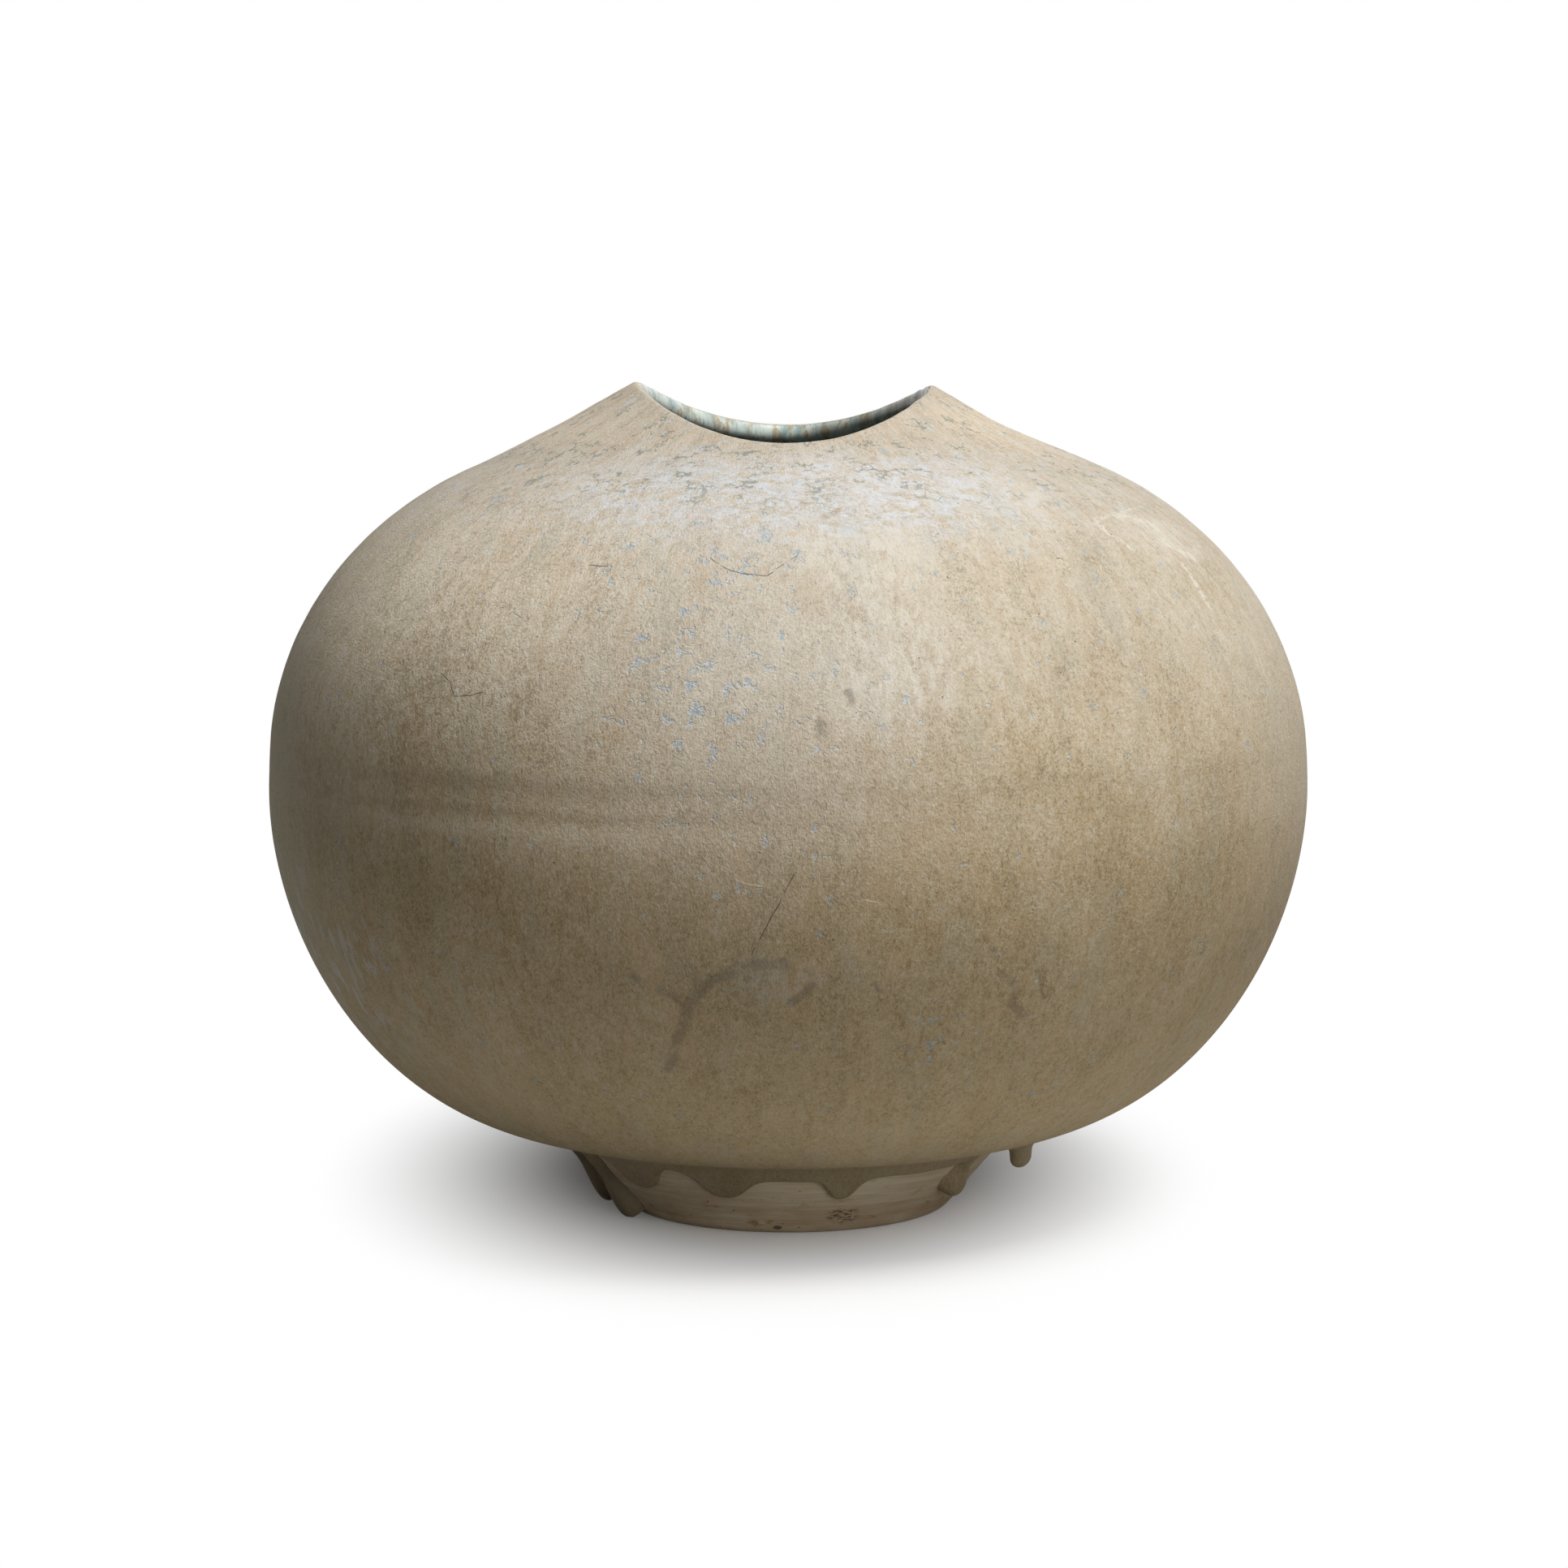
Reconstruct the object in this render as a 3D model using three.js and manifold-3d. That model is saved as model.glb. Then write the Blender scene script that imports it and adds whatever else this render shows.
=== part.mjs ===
// A hand-thrown stoneware pot: a wide round body on a small flared foot, open at a saddle-shaped mouth.
// Millimetres, +Z up. The foot rests on Z = 0 around the Z axis, and the front of the pot faces -Y.
// The clay was thrown in four sections, stuck together with slip, and then glazed inside and out.
import * as THREE from 'three';
import { mergeVertices } from 'three/addons/utils/BufferGeometryUtils.js';
import Module from 'manifold-3d';

const wasm = await Module();
wasm.setup();

const { degToRad, lerp } = THREE.MathUtils;

// Overall sizes, over the glaze
const OVERALL_WIDTH = 400;
const BELLY_HEIGHT = 168;
const DOME_RISE = 117;
const COLLAR_RISE = 33;
const SHOULDER_RADIUS = 124.5;
const PEAK_RADIUS = 57.5;
const MOUTH_DIP = 18.6;

// Foot, in bare clay: it flares upwards from its resting ring to the crease under the bowl
const FOOT_RADIUS = 62;
const FOOT_HEIGHT = 31.8;
const FOOT_FLARE = degToRad(50);
const FOOT_RIM = 12;
const FOOT_EDGE = 1.5;

// Outline of the body: slopes at its turning points, and how far each curve is pulled along them
const UNDERSIDE_SLOPE = degToRad(6);
const SHOULDER_SLOPE = degToRad(24);
const PEAK_SLOPE = degToRad(29);
const CREASE_ROUND = 7;
const BOWL_START_PULL = 58;
const BOWL_BELLY_PULL = 68;
const DOME_BELLY_PULL = 76;
const DOME_SHOULDER_PULL = 20;
const COLLAR_SHOULDER_PULL = 60;
const COLLAR_PEAK_PULL = 37;

// Thicknesses, and the clearance that keeps neighbouring pieces apart
const WALL_AT_FOOT = 9;
const WALL_AT_LIP = 4;
const SLIP = 2;
const OUTER_GLAZE = 1.5;
const INNER_GLAZE = 0.8;
const LIP_GLAZE = 1.2;
const GAP = 0.3;

// Glaze on the foot: how far below the crease the coat ends, and the runs that go on from there
const HEM_DROP = 7.8;
const RUN_THICKNESS = 3;
const RUN_SHOULDER = 5;
const SHOULDER_SPREAD = 0.9;
const BEAD_SWELL = 0.56;
const BEAD_STAND = 0.4;

// One run each: direction round the foot in degrees, how far it goes from hem to floor, and its width
const RUNS = [
  { angle: -107, reach: 0.33, width: 10 },
  { angle: -75.5, reach: 0.35, width: 9 },
  { angle: -37, reach: 0.48, width: 9 },
  { angle: -9, reach: 0.3, width: 9 },
  { angle: 21, reach: 0.5, width: 8 },
  { angle: 53, reach: 0.31, width: 10 },
  { angle: 88, reach: 0.42, width: 9 },
  { angle: 117, reach: 0.62, width: 8 },
  { angle: 146, reach: 0.33, width: 9 },
  { angle: -169, reach: 0.83, width: 8 },
  { angle: -152, reach: 0.95, width: 9 },
  { angle: -134, reach: 0.33, width: 11 },
];

// One drop hangs free under the bowl, this far outside the crease
const DROP_ANGLE = degToRad(-36);
const DROP_OUTSIDE = 19;
const DROP_WIDTH = 8.5;
const DROP_LENGTH = 8;

// Fineness of the faceted surfaces
const TURN_STEPS = 36;
const STATION_STEP = 24;
const LIP_STEPS = 72;
const LIP_TOLERANCE = 0.001;
const BEAD_STEPS = 10;
const BEAD_RINGS = 6;

// Finishes
const CLAY = { color: 0xb79a82, roughness: 0.9, metalness: 0 };
const LUTING = { color: 0xa58a74, roughness: 0.95, metalness: 0 };
const TAN_GLAZE = { color: 0xa8967d, roughness: 0.6, metalness: 0 };
const BLUE_GLAZE = { color: 0x7f9a98, roughness: 0.25, metalness: 0 };

// Points and directions of the outline, as radius and height
const clayDepth = OUTER_GLAZE + GAP;
const hemHeight = FOOT_HEIGHT - HEM_DROP;
const shoulderHeight = BELLY_HEIGHT + DOME_RISE;
const peakHeight = shoulderHeight + COLLAR_RISE;

function heading(angle) {
  return new THREE.Vector2(Math.cos(angle), Math.sin(angle));
}

function along(point, direction, distance) {
  return point.clone().addScaledVector(direction, distance);
}

function onAxis(height) {
  return new THREE.Vector2(0, height);
}

function onFoot(height, outward) {
  const radius = FOOT_RADIUS + height / Math.tan(FOOT_FLARE) + outward / Math.sin(FOOT_FLARE);
  return new THREE.Vector2(radius, height);
}

// The glazed outline climbs the foot from the hem, rounds the crease, and goes over the belly to the mouth
const upTheFoot = heading(FOOT_FLARE);
const awayFromFoot = heading(FOOT_FLARE - Math.PI / 2);
const underside = heading(UNDERSIDE_SLOPE);
const upright = heading(Math.PI / 2);
const overShoulder = heading(Math.PI - SHOULDER_SLOPE);
const overPeak = heading(Math.PI - PEAK_SLOPE);

const hem = onFoot(hemHeight, clayDepth);
const crease = onFoot(FOOT_HEIGHT, clayDepth);
const creaseLow = along(crease, upTheFoot, -CREASE_ROUND);
const bowlStart = along(crease, underside, CREASE_ROUND);
const belly = new THREE.Vector2(OVERALL_WIDTH / 2, BELLY_HEIGHT);
const shoulder = new THREE.Vector2(SHOULDER_RADIUS, shoulderHeight);
const peak = new THREE.Vector2(PEAK_RADIUS, peakHeight);
const lipThickness = clayDepth + WALL_AT_LIP + GAP + INNER_GLAZE;
const trimEnd = along(peak, overPeak, 2 * lipThickness);

const outline = new THREE.CurvePath();
outline.add(new THREE.LineCurve(hem, creaseLow));
outline.add(new THREE.QuadraticBezierCurve(creaseLow, crease, bowlStart));
outline.add(new THREE.CubicBezierCurve(
  bowlStart,
  along(bowlStart, underside, BOWL_START_PULL),
  along(belly, upright, -BOWL_BELLY_PULL),
  belly,
));
outline.add(new THREE.CubicBezierCurve(
  belly,
  along(belly, upright, DOME_BELLY_PULL),
  along(shoulder, overShoulder, -DOME_SHOULDER_PULL),
  shoulder,
));
outline.add(new THREE.CubicBezierCurve(
  shoulder,
  along(shoulder, overShoulder, COLLAR_SHOULDER_PULL),
  along(peak, overPeak, -COLLAR_PEAK_PULL),
  peak,
));
outline.add(new THREE.LineCurve(peak, trimEnd));

// Distances along the outline where its stretches and the clay sections begin and end
const atHem = 0;
const [atCreaseLow, atBowlStart, atBelly, atShoulder, , atTop] = outline.getCurveLengths();
const halfSeam = SLIP / 2;
const halfJoint = halfSeam + GAP;
const breaks = [
  atHem,
  atCreaseLow,
  (atCreaseLow + atBowlStart) / 2,
  atBowlStart,
  atBelly - halfJoint,
  atBelly + halfJoint,
  atShoulder - halfJoint,
  atShoulder + halfJoint,
  atTop,
];

// All layers share the same stations, so that their facets stay parallel
function stationsFrom(start, end) {
  const steps = Math.max(1, Math.round((end - start) / STATION_STEP));
  return Array.from({ length: steps }, (_, step) => lerp(start, end, step / steps));
}

const stations = breaks.slice(1).flatMap((end, stretch) => stationsFrom(breaks[stretch], end));

// A layer's face lies at a depth under the glazed outline, which may change along it
function facePoint(station, depthAt) {
  const point = outline.getPoint(station / atTop);
  const tangent = outline.getTangent(station / atTop);
  const inward = new THREE.Vector2(-tangent.y, tangent.x);
  return along(point, inward, depthAt(station));
}

function face(start, end, depthAt) {
  const between = stations.filter((station) => station > start && station < end);
  return [start, ...between, end].map((station) => facePoint(station, depthAt));
}

const clearOfGlaze = () => -GAP;
const onGlaze = () => 0;
const underGlaze = () => OUTER_GLAZE;
const onClay = () => clayDepth;
const insideClay = (station) => clayDepth + lerp(WALL_AT_FOOT, WALL_AT_LIP, station / atTop);
const behindLiner = (station) => insideClay(station) + GAP;
const onLiner = (station) => behindLiner(station) + INNER_GLAZE;

// Solids of revolution
function turned(profile) {
  return new THREE.LatheGeometry(profile, TURN_STEPS).rotateX(Math.PI / 2);
}

function turnedRing(outer, inner) {
  return turned([...outer, ...inner.toReversed(), outer[0]]);
}

// Joining and cutting of closed solids
function toSolid(geometry) {
  const bare = new THREE.BufferGeometry();
  bare.setAttribute('position', geometry.getAttribute('position'));
  bare.setIndex(geometry.getIndex());
  const merged = mergeVertices(bare);
  const corners = merged.getIndex().array;
  const triangles = [];
  for (let first = 0; first < corners.length; first += 3) {
    const [a, b, c] = corners.slice(first, first + 3);
    if (a !== b && b !== c && c !== a) {
      triangles.push(a, b, c);
    }
  }
  const vertProperties = new Float32Array(merged.getAttribute('position').array);
  const triVerts = new Uint32Array(triangles);
  return new wasm.Manifold(new wasm.Mesh({ numProp: 3, vertProperties, triVerts }));
}

function toGeometry(solid) {
  const mesh = solid.getMesh();
  const geometry = new THREE.BufferGeometry();
  geometry.setAttribute('position', new THREE.BufferAttribute(mesh.vertProperties, mesh.numProp));
  geometry.setIndex(new THREE.BufferAttribute(mesh.triVerts, 1));
  geometry.computeVertexNormals();
  return geometry;
}

// The lip's line is where a cylinder lying along Y would scoop the outline, which leaves two points standing
const scoopRadius = (PEAK_RADIUS ** 2 + MOUTH_DIP ** 2) / (2 * MOUTH_DIP);
const scoopHeight = peakHeight - MOUTH_DIP + scoopRadius;

function lipStation(angle) {
  let low = atShoulder;
  let high = atTop;
  while (high - low > LIP_TOLERANCE) {
    const middle = (low + high) / 2;
    const point = outline.getPoint(middle / atTop);
    const scooped = Math.hypot(point.x * Math.cos(angle), point.y - scoopHeight) < scoopRadius;
    if (scooped) {
      high = middle;
    } else {
      low = middle;
    }
  }
  return low;
}

// The mouth is cut square through the wall along the lip's line, by a plug that stops short of the line
function mouthPlug(shortOfLip) {
  const corners = [0, 0, shoulderHeight, 0, 0, scoopHeight];
  const triangles = [];
  const [bottom, top] = [0, 1];
  for (let step = 0; step < LIP_STEPS; step += 1) {
    const angle = 2 * Math.PI * step / LIP_STEPS;
    const station = lipStation(angle) - shortOfLip;
    for (const depth of [2 * lipThickness, -lipThickness]) {
      const point = facePoint(station, () => depth);
      corners.push(point.x * Math.cos(angle), point.x * Math.sin(angle), point.y);
    }
    const inner = 2 + 2 * step;
    const outer = inner + 1;
    const nextInner = 2 + 2 * ((step + 1) % LIP_STEPS);
    const nextOuter = nextInner + 1;
    triangles.push(bottom, nextInner, inner, top, outer, nextOuter);
    triangles.push(inner, nextInner, nextOuter, inner, nextOuter, outer);
  }
  const plug = new THREE.BufferGeometry();
  plug.setAttribute('position', new THREE.Float32BufferAttribute(corners, 3));
  plug.setIndex(triangles);
  return toSolid(plug);
}

function withMouth(geometry) {
  return toGeometry(toSolid(geometry).subtract(mouthPlug(LIP_GLAZE + GAP)));
}

// Clay sections, and the slip in their seams
const bowlBase = facePoint(atBowlStart, onClay).y;
const footTop = bowlBase - SLIP - 2 * GAP;
const footWall = FOOT_RIM * Math.sin(FOOT_FLARE);

function footRing() {
  const outer = [new THREE.Vector2(FOOT_RADIUS - FOOT_EDGE, 0), onFoot(FOOT_EDGE, 0), onFoot(footTop, 0)];
  const inner = [onFoot(0, -footWall), onFoot(footTop, -footWall)];
  return turnedRing(outer, inner);
}

function footJoint() {
  const low = footTop + GAP;
  const high = low + SLIP;
  return turnedRing([onFoot(low, 0), onFoot(high, 0)], [onFoot(low, -footWall), onFoot(high, -footWall)]);
}

function lowerBowl() {
  const outer = face(atBowlStart, atBelly - halfJoint, onClay);
  const inner = face(atBowlStart, atBelly - halfJoint, insideClay);
  return turned([onAxis(outer[0].y), ...outer, ...inner.toReversed(), onAxis(inner[0].y)]);
}

function clayRing(start, end) {
  return turnedRing(face(start, end, onClay), face(start, end, insideClay));
}

// Glaze coats: the outer one also fills the crease, where the melt gathered
function outerGlaze() {
  const overBowl = face(atBowlStart, atTop, underGlaze);
  const overFoot = [facePoint(atHem, underGlaze), onFoot(overBowl[0].y, GAP)];
  return withMouth(turnedRing(face(atHem, atTop, onGlaze), [...overFoot, ...overBowl]));
}

function innerGlaze() {
  const back = face(atBowlStart, atTop, behindLiner);
  const front = face(atBowlStart, atTop, onLiner);
  return withMouth(turned([onAxis(back[0].y), ...back, ...front.toReversed(), onAxis(front[0].y)]));
}

function lipGlaze() {
  const start = atShoulder + halfJoint;
  const wall = toSolid(turnedRing(face(start, atTop, onGlaze), face(start, atTop, onLiner)));
  return toGeometry(wall.intersect(mouthPlug(LIP_GLAZE)).subtract(mouthPlug(0)));
}

// Spaces that the runs keep out of: the foot below them and the coat above them
function belowHem(outward) {
  return along(along(hem, upTheFoot, -GAP), awayFromFoot, outward);
}

const footClearance = toSolid(turned([
  onAxis(-FOOT_HEIGHT),
  onFoot(-FOOT_HEIGHT, GAP),
  onFoot(FOOT_HEIGHT, GAP),
  onAxis(FOOT_HEIGHT),
]));
const coatClearance = toSolid(turned([
  onAxis(belowHem(GAP).y),
  belowHem(GAP),
  ...face(atHem, atBelly, clearOfGlaze),
  onAxis(BELLY_HEIGHT),
]));
const runBand = toSolid(turnedRing(
  [onFoot(GAP, GAP + RUN_THICKNESS), belowHem(RUN_THICKNESS - OUTER_GLAZE)],
  [onFoot(GAP, GAP), belowHem(-OUTER_GLAZE)],
));

// A run is a tongue with spread shoulders and a round bead, lying on the foot below the hem
function runTongue(width, tip) {
  const half = width / 2;
  const spread = width * SHOULDER_SPREAD;
  const shoulderLow = Math.max(hemHeight - RUN_SHOULDER, tip + half);
  const shape = new THREE.Shape();
  shape.moveTo(-spread, FOOT_HEIGHT);
  shape.lineTo(-spread, hemHeight);
  shape.quadraticCurveTo(-half, hemHeight, -half, shoulderLow);
  shape.absarc(0, tip + half, half, Math.PI, 2 * Math.PI, false);
  shape.lineTo(half, shoulderLow);
  shape.quadraticCurveTo(half, hemHeight, spread, hemHeight);
  shape.lineTo(spread, FOOT_HEIGHT);
  return new THREE.ExtrudeGeometry(shape, { depth: OVERALL_WIDTH / 2, bevelEnabled: false, curveSegments: 4 });
}

function facing(angle) {
  const outward = new THREE.Vector3(Math.cos(angle), Math.sin(angle), 0);
  const up = new THREE.Vector3(0, 0, 1);
  const sideways = new THREE.Vector3().crossVectors(up, outward);
  return new THREE.Matrix4().makeBasis(sideways, up, outward);
}

function glazeRun({ angle, reach, width }) {
  const turn = facing(degToRad(angle));
  const tip = hemHeight * (1 - reach);
  const beadRadius = width * BEAD_SWELL;
  const seat = onFoot(tip + beadRadius, GAP + beadRadius * BEAD_STAND);
  const ball = new THREE.SphereGeometry(beadRadius, BEAD_STEPS, BEAD_RINGS).translate(0, seat.y, seat.x);
  const bead = toSolid(ball.applyMatrix4(turn)).subtract(footClearance).subtract(coatClearance);
  const tongue = toSolid(runTongue(width, tip).applyMatrix4(turn)).intersect(runBand);
  return toGeometry(tongue.add(bead));
}

// The hanging drop is a turned tear whose top follows the glazed underside
function hangingDrop() {
  const half = DROP_WIDTH / 2;
  const tip = crease.y - DROP_LENGTH;
  const top = crease.y + DROP_LENGTH;
  const outside = new THREE.Path();
  outside.moveTo(0, tip);
  outside.absarc(0, tip + half, half, -Math.PI / 2, 0, false);
  outside.lineTo(half, top);
  outside.lineTo(0, top);
  const tear = new THREE.LatheGeometry(outside.getPoints(4), BEAD_STEPS).rotateX(Math.PI / 2);
  const place = heading(DROP_ANGLE).multiplyScalar(crease.x + DROP_OUTSIDE);
  return toGeometry(toSolid(tear.translate(place.x, place.y, 0)).subtract(coatClearance));
}

// The pot
const pot = new THREE.Group();
pot.name = 'pot';

function piece(name, geometry, finish) {
  const mesh = new THREE.Mesh(geometry, new THREE.MeshStandardMaterial(finish));
  mesh.name = name;
  pot.add(mesh);
}

piece('foot_ring', footRing(), CLAY);
piece('foot_slip_joint', footJoint(), LUTING);
piece('lower_bowl', lowerBowl(), CLAY);
piece('belly_slip_joint', clayRing(atBelly - halfSeam, atBelly + halfSeam), LUTING);
piece('upper_bowl', clayRing(atBelly + halfJoint, atShoulder - halfJoint), CLAY);
piece('neck_slip_joint', clayRing(atShoulder - halfSeam, atShoulder + halfSeam), LUTING);
piece('mouth_collar', withMouth(clayRing(atShoulder + halfJoint, atTop)), CLAY);
piece('outer_glaze', outerGlaze(), TAN_GLAZE);
piece('inner_glaze', innerGlaze(), BLUE_GLAZE);
piece('lip_glaze', lipGlaze(), TAN_GLAZE);
RUNS.forEach((run, index) => {
  piece(`glaze_run_${String(index + 1).padStart(2, '0')}`, glazeRun(run), TAN_GLAZE);
});
piece('hanging_glaze_drop', hangingDrop(), TAN_GLAZE);

export default pot;
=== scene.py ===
import math

import bpy
import numpy as np
from bpy.props import FloatProperty, FloatVectorProperty, PointerProperty
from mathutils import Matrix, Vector, noise


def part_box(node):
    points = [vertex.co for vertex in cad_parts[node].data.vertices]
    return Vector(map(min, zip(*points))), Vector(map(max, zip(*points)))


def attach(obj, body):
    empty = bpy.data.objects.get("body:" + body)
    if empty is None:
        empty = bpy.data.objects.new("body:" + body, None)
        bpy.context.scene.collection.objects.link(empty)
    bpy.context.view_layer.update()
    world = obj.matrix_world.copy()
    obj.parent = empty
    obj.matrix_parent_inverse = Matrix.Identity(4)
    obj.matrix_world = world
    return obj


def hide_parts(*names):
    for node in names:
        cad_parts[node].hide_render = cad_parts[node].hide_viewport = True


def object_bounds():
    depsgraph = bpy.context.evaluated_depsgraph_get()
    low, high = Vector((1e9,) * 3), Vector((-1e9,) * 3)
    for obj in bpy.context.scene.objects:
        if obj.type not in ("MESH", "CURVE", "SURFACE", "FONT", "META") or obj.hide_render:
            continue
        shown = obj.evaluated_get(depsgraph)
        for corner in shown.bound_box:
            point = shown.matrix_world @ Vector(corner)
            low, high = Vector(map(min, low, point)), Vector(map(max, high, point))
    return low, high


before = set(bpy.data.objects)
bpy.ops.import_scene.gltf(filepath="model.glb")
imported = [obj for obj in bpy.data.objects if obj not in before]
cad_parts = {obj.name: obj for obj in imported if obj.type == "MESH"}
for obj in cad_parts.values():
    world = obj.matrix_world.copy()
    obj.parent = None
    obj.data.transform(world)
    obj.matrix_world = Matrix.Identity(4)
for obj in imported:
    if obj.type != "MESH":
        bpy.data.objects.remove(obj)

bl_info = {
    "name": "Stoneware Pot",
    "version": (1, 0, 0),
    "blender": (4, 5, 0),
    "location": "3D View > Sidebar > Pot",
    "description": "Glaze coats, runs, foot and lining of a hand-thrown pot, made on the clay of its frame",
    "category": "Add Mesh",
}

MM = 0.001
CAD_LOW, CAD_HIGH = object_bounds()

# Outline of the pot: slopes where it turns, and how far each curve is pulled along them
UNDERSIDE_SLOPE = math.radians(6)
SHOULDER_SLOPE = math.radians(24)
PEAK_SLOPE = math.radians(29)
CREASE_ROUND = 7 * MM
BOWL_START_PULL = 58 * MM
BOWL_BELLY_PULL = 68 * MM
DOME_BELLY_PULL = 76 * MM
DOME_SHOULDER_PULL = 20 * MM
COLLAR_SHOULDER_PULL = 60 * MM
COLLAR_PEAK_PULL = 37 * MM
PAST_PEAK = 14 * MM
CURVE_STEPS = 160
LIP_HALVINGS = 24

# Heights where the collar's lean and tilt begin and where they are full
LEAN_START = 286 * MM
LEAN_FULL = 308 * MM

# Hollow over the belly seam: its height, reach and angle from +X, and the small ridge in it
HOLLOW_HEIGHT = 175.8 * MM
HOLLOW_REACH = 11 * MM
HOLLOW_ANGLE = math.radians(-118)
HOLLOW_SPREAD = math.radians(42)
HOLLOW_LEAST = 0.35
RIDGE_HEIGHT = 176.6 * MM
RIDGE_REACH = 3.4 * MM
RIDGE_SHARE = 0.12

# Lip: a roll whose outer side is tighter than its inner side
ROLL_OUTER = 2.4 * MM
ROLL_INNER = 4.5 * MM
ROLL_LIFT = 1.8 * MM
LIP_RETURN = 10 * MM
COAT_SKIN = 1.2 * MM

# Noise of the turned surfaces: how fine it is around and along them, and a seed
UNEVEN_NOISE = (1.4, 9, 5.9)
THROWING_NOISE = (0.35, 150, 2.3)
LIP_NOISE = (7, 0, 4.1)
HEM_NOISE = (7, 0, 8.4)
FOOT_FINE_NOISE = (0.5, 420, 1.2)
FOOT_BROAD_NOISE = (1.6, 130, 6.2)
LINING_NOISE = (0.3, 70, 7.7)

# Depth of the wall's unevenness under the coats, and how far from an edge of a coat it fades out
UNEVEN_DEPTH = 0.5 * MM
UNEVEN_FADE = 25 * MM

# Fineness of the meshes; columns are counted in whole sectors
SECTORS = 16
UPPER_COLUMNS = 448
UPPER_ROWS = 100
LOWER_COLUMNS = 512
LOWER_ROWS = 62
DROP_COLUMNS = 48
FOOT_COLUMNS = 320
LINING_COLUMNS = 256
MERGE_DISTANCE = 1e-6
SHARP_EDGE = math.radians(40)

# Map of a coat, laid out as a disc: its rim, the width of the seen part, the back in its middle, and a gap
MAP_NAME = "OFBake"
DISC_RIM = 0.495
DISC_SEEN = 0.44
DISC_BACK = (0.04, 0.01)
DISC_GAP = 0.002

# Length of the glaze's streaks and grain, as the share by which heights are squeezed in their noise
STREAK_SQUEEZE = 0.3
GRAIN_SQUEEZE = 0.6
LINING_SQUEEZE = 0.35
GLOSS_SQUEEZE = 0.22

# Half the height over which the streaks turn at the belly, and how far a seed moves a pattern
BELLY_TURN = 8 * MM
SEED_SHIFT = 0.1

# Reflection of the unglazed clay and the dry glaze
DRY_SHINE = 0.15

# Ground of the dry glaze: the height of its colour ramp, the waver of its rings, and where each ring lies;
# the brown rings are partly painted shade of the hollow over the seam, the pale ring is painted light below
# it
GROUND_TOP = 320 * MM
RING_WAVER = 5 * MM
BROWN_RINGS_AND_SHADE = ((178 * MM, 183.5 * MM, 190 * MM), (171 * MM, 174.2 * MM, 177.5 * MM))
PAINTED_LIT_RING = (162.5 * MM, 167.8 * MM, 172.5 * MM)

# Heights where a change in the dry glaze begins and where it is full
LIGHT_RISE = (120 * MM, 250 * MM)
PEACH_RISE = (240 * MM, 275 * MM)
FROST_RISE = (254 * MM, 283 * MM)
FROST_FALL = (302 * MM, 288 * MM)
MIST_RISE = (250 * MM, 270 * MM)
WORM_RISE = (266 * MM, 290 * MM)
PIT_RISE = (150 * MM, 250 * MM)
SALT_RISE = (140 * MM, 200 * MM)
# The hem's thick glaze darkens here, partly as painted shade under the crease
HEM_DARK_AND_SHADED = (35 * MM, 29 * MM)

# Soft spots on the dry glaze: angle from the front in degrees and height in mm, then half sizes in mm
ROUGH_SIDE = ((-42, 222), (130, 120, 80))
STRONG_RING_SHADE = ((-28, 176), (130, 120, 60))
# Where the rings' painted shade and painted light are strongest
FROSTED_FRONT = ((2, 285), (130, 100, 60))
SLATE_SIDE = ((-85, 160), (100, 160, 140))
# Painted reflected light along the right side
PAINTED_RIM_LIGHT = ((84, 185), (90, 160, 110))
COOL_FRONT = ((-3, 215), (110, 100, 100))
LOW_STREAKS = ((-66, 100), (70, 90, 60))
DUST = ((-1.5, 118), (30, 30, 12))
UPPER_CREAM = ((10, 260), (42, 50, 26))
LOWER_CREAM = ((11, 226), (42, 60, 40))
RIGHT_CREAM = ((63, 263), (50, 50, 18))

# Crowds of blue pits, as soft spots with a strength
PIT_CROWDS = (
    (((-6, 253), (70, 60, 35)), 1.0),
    (((-7, 222), (60, 60, 55)), 0.9),
    (((-4, 165), (60, 60, 45)), 0.7),
    (((16, 92), (35, 50, 30)), 0.8),
)

# Painted light and shade on the dry glaze, as soft spots with a change of brightness
PAINTED_LIGHT_AND_SHADE = (
    (((-44, 172), (100, 100, 75)), -0.2),
    (((-8, 102), (140, 130, 80)), -0.14),
    (((-46, 256), (110, 120, 60)), 0.25),
    (((-80, 305), (60, 80, 35)), 0.25),
    (((80, 305), (50, 80, 30)), 0.27),
    (((40, 238), (100, 100, 50)), -0.07),
    (((26, 165), (100, 120, 80)), 0.06),
)

# Lines on the dry glaze: points as angle from the front in degrees and height in mm, then the width in mm
CRACKS = (
    (((-9.9, 261.6), (-7.7, 258.2), (-5.7, 256.7), (-2.6, 255.9), (-0.7, 259.7), (1.4, 262.8)), 0.25),
    (((0.5, 155.8), (-0.6, 148.7), (-1.1, 144.4), (-1.8, 140.7), (-2.6, 135), (-3.8, 127.4)), 0.25),
    (((-40.4, 220.1), (-38.9, 217.6), (-37.7, 212.6), (-35.8, 213.3), (-34, 214.8)), 0.25),
    (((34.5, 259.5), (36.6, 259.8), (38.1, 258)), 0.25),
    (((-36, 243.6), (-34.4, 243.1), (-31.6, 240.1)), 0.25),
    (((-25.6, 258.6), (-23.1, 258.3)), 0.25),
    (((-80.2, 235.7), (-77.4, 238.2), (-73.8, 240.8)), 0.25),
)
SCRATCHES = (
    (((-5, 153.7), (-3.8, 152.3), (-2.7, 152)), 0.3),
    (((6.3, 147.1), (7.9, 146.7), (9.3, 145.4)), 0.3),
)
SCUFFS = (
    (((49.3, 271.4), (48.9, 267.6), (51, 262)), 3.2),
    (((55.6, 272.5), (62.9, 268.7), (60.8, 262), (65.1, 256.1)), 3.6),
    (((60.1, 253.5), (59.4, 239.7)), 3.2),
    (((49.3, 271.8), (55.6, 272.8), (66.4, 274.5)), 1.4),
)
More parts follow.
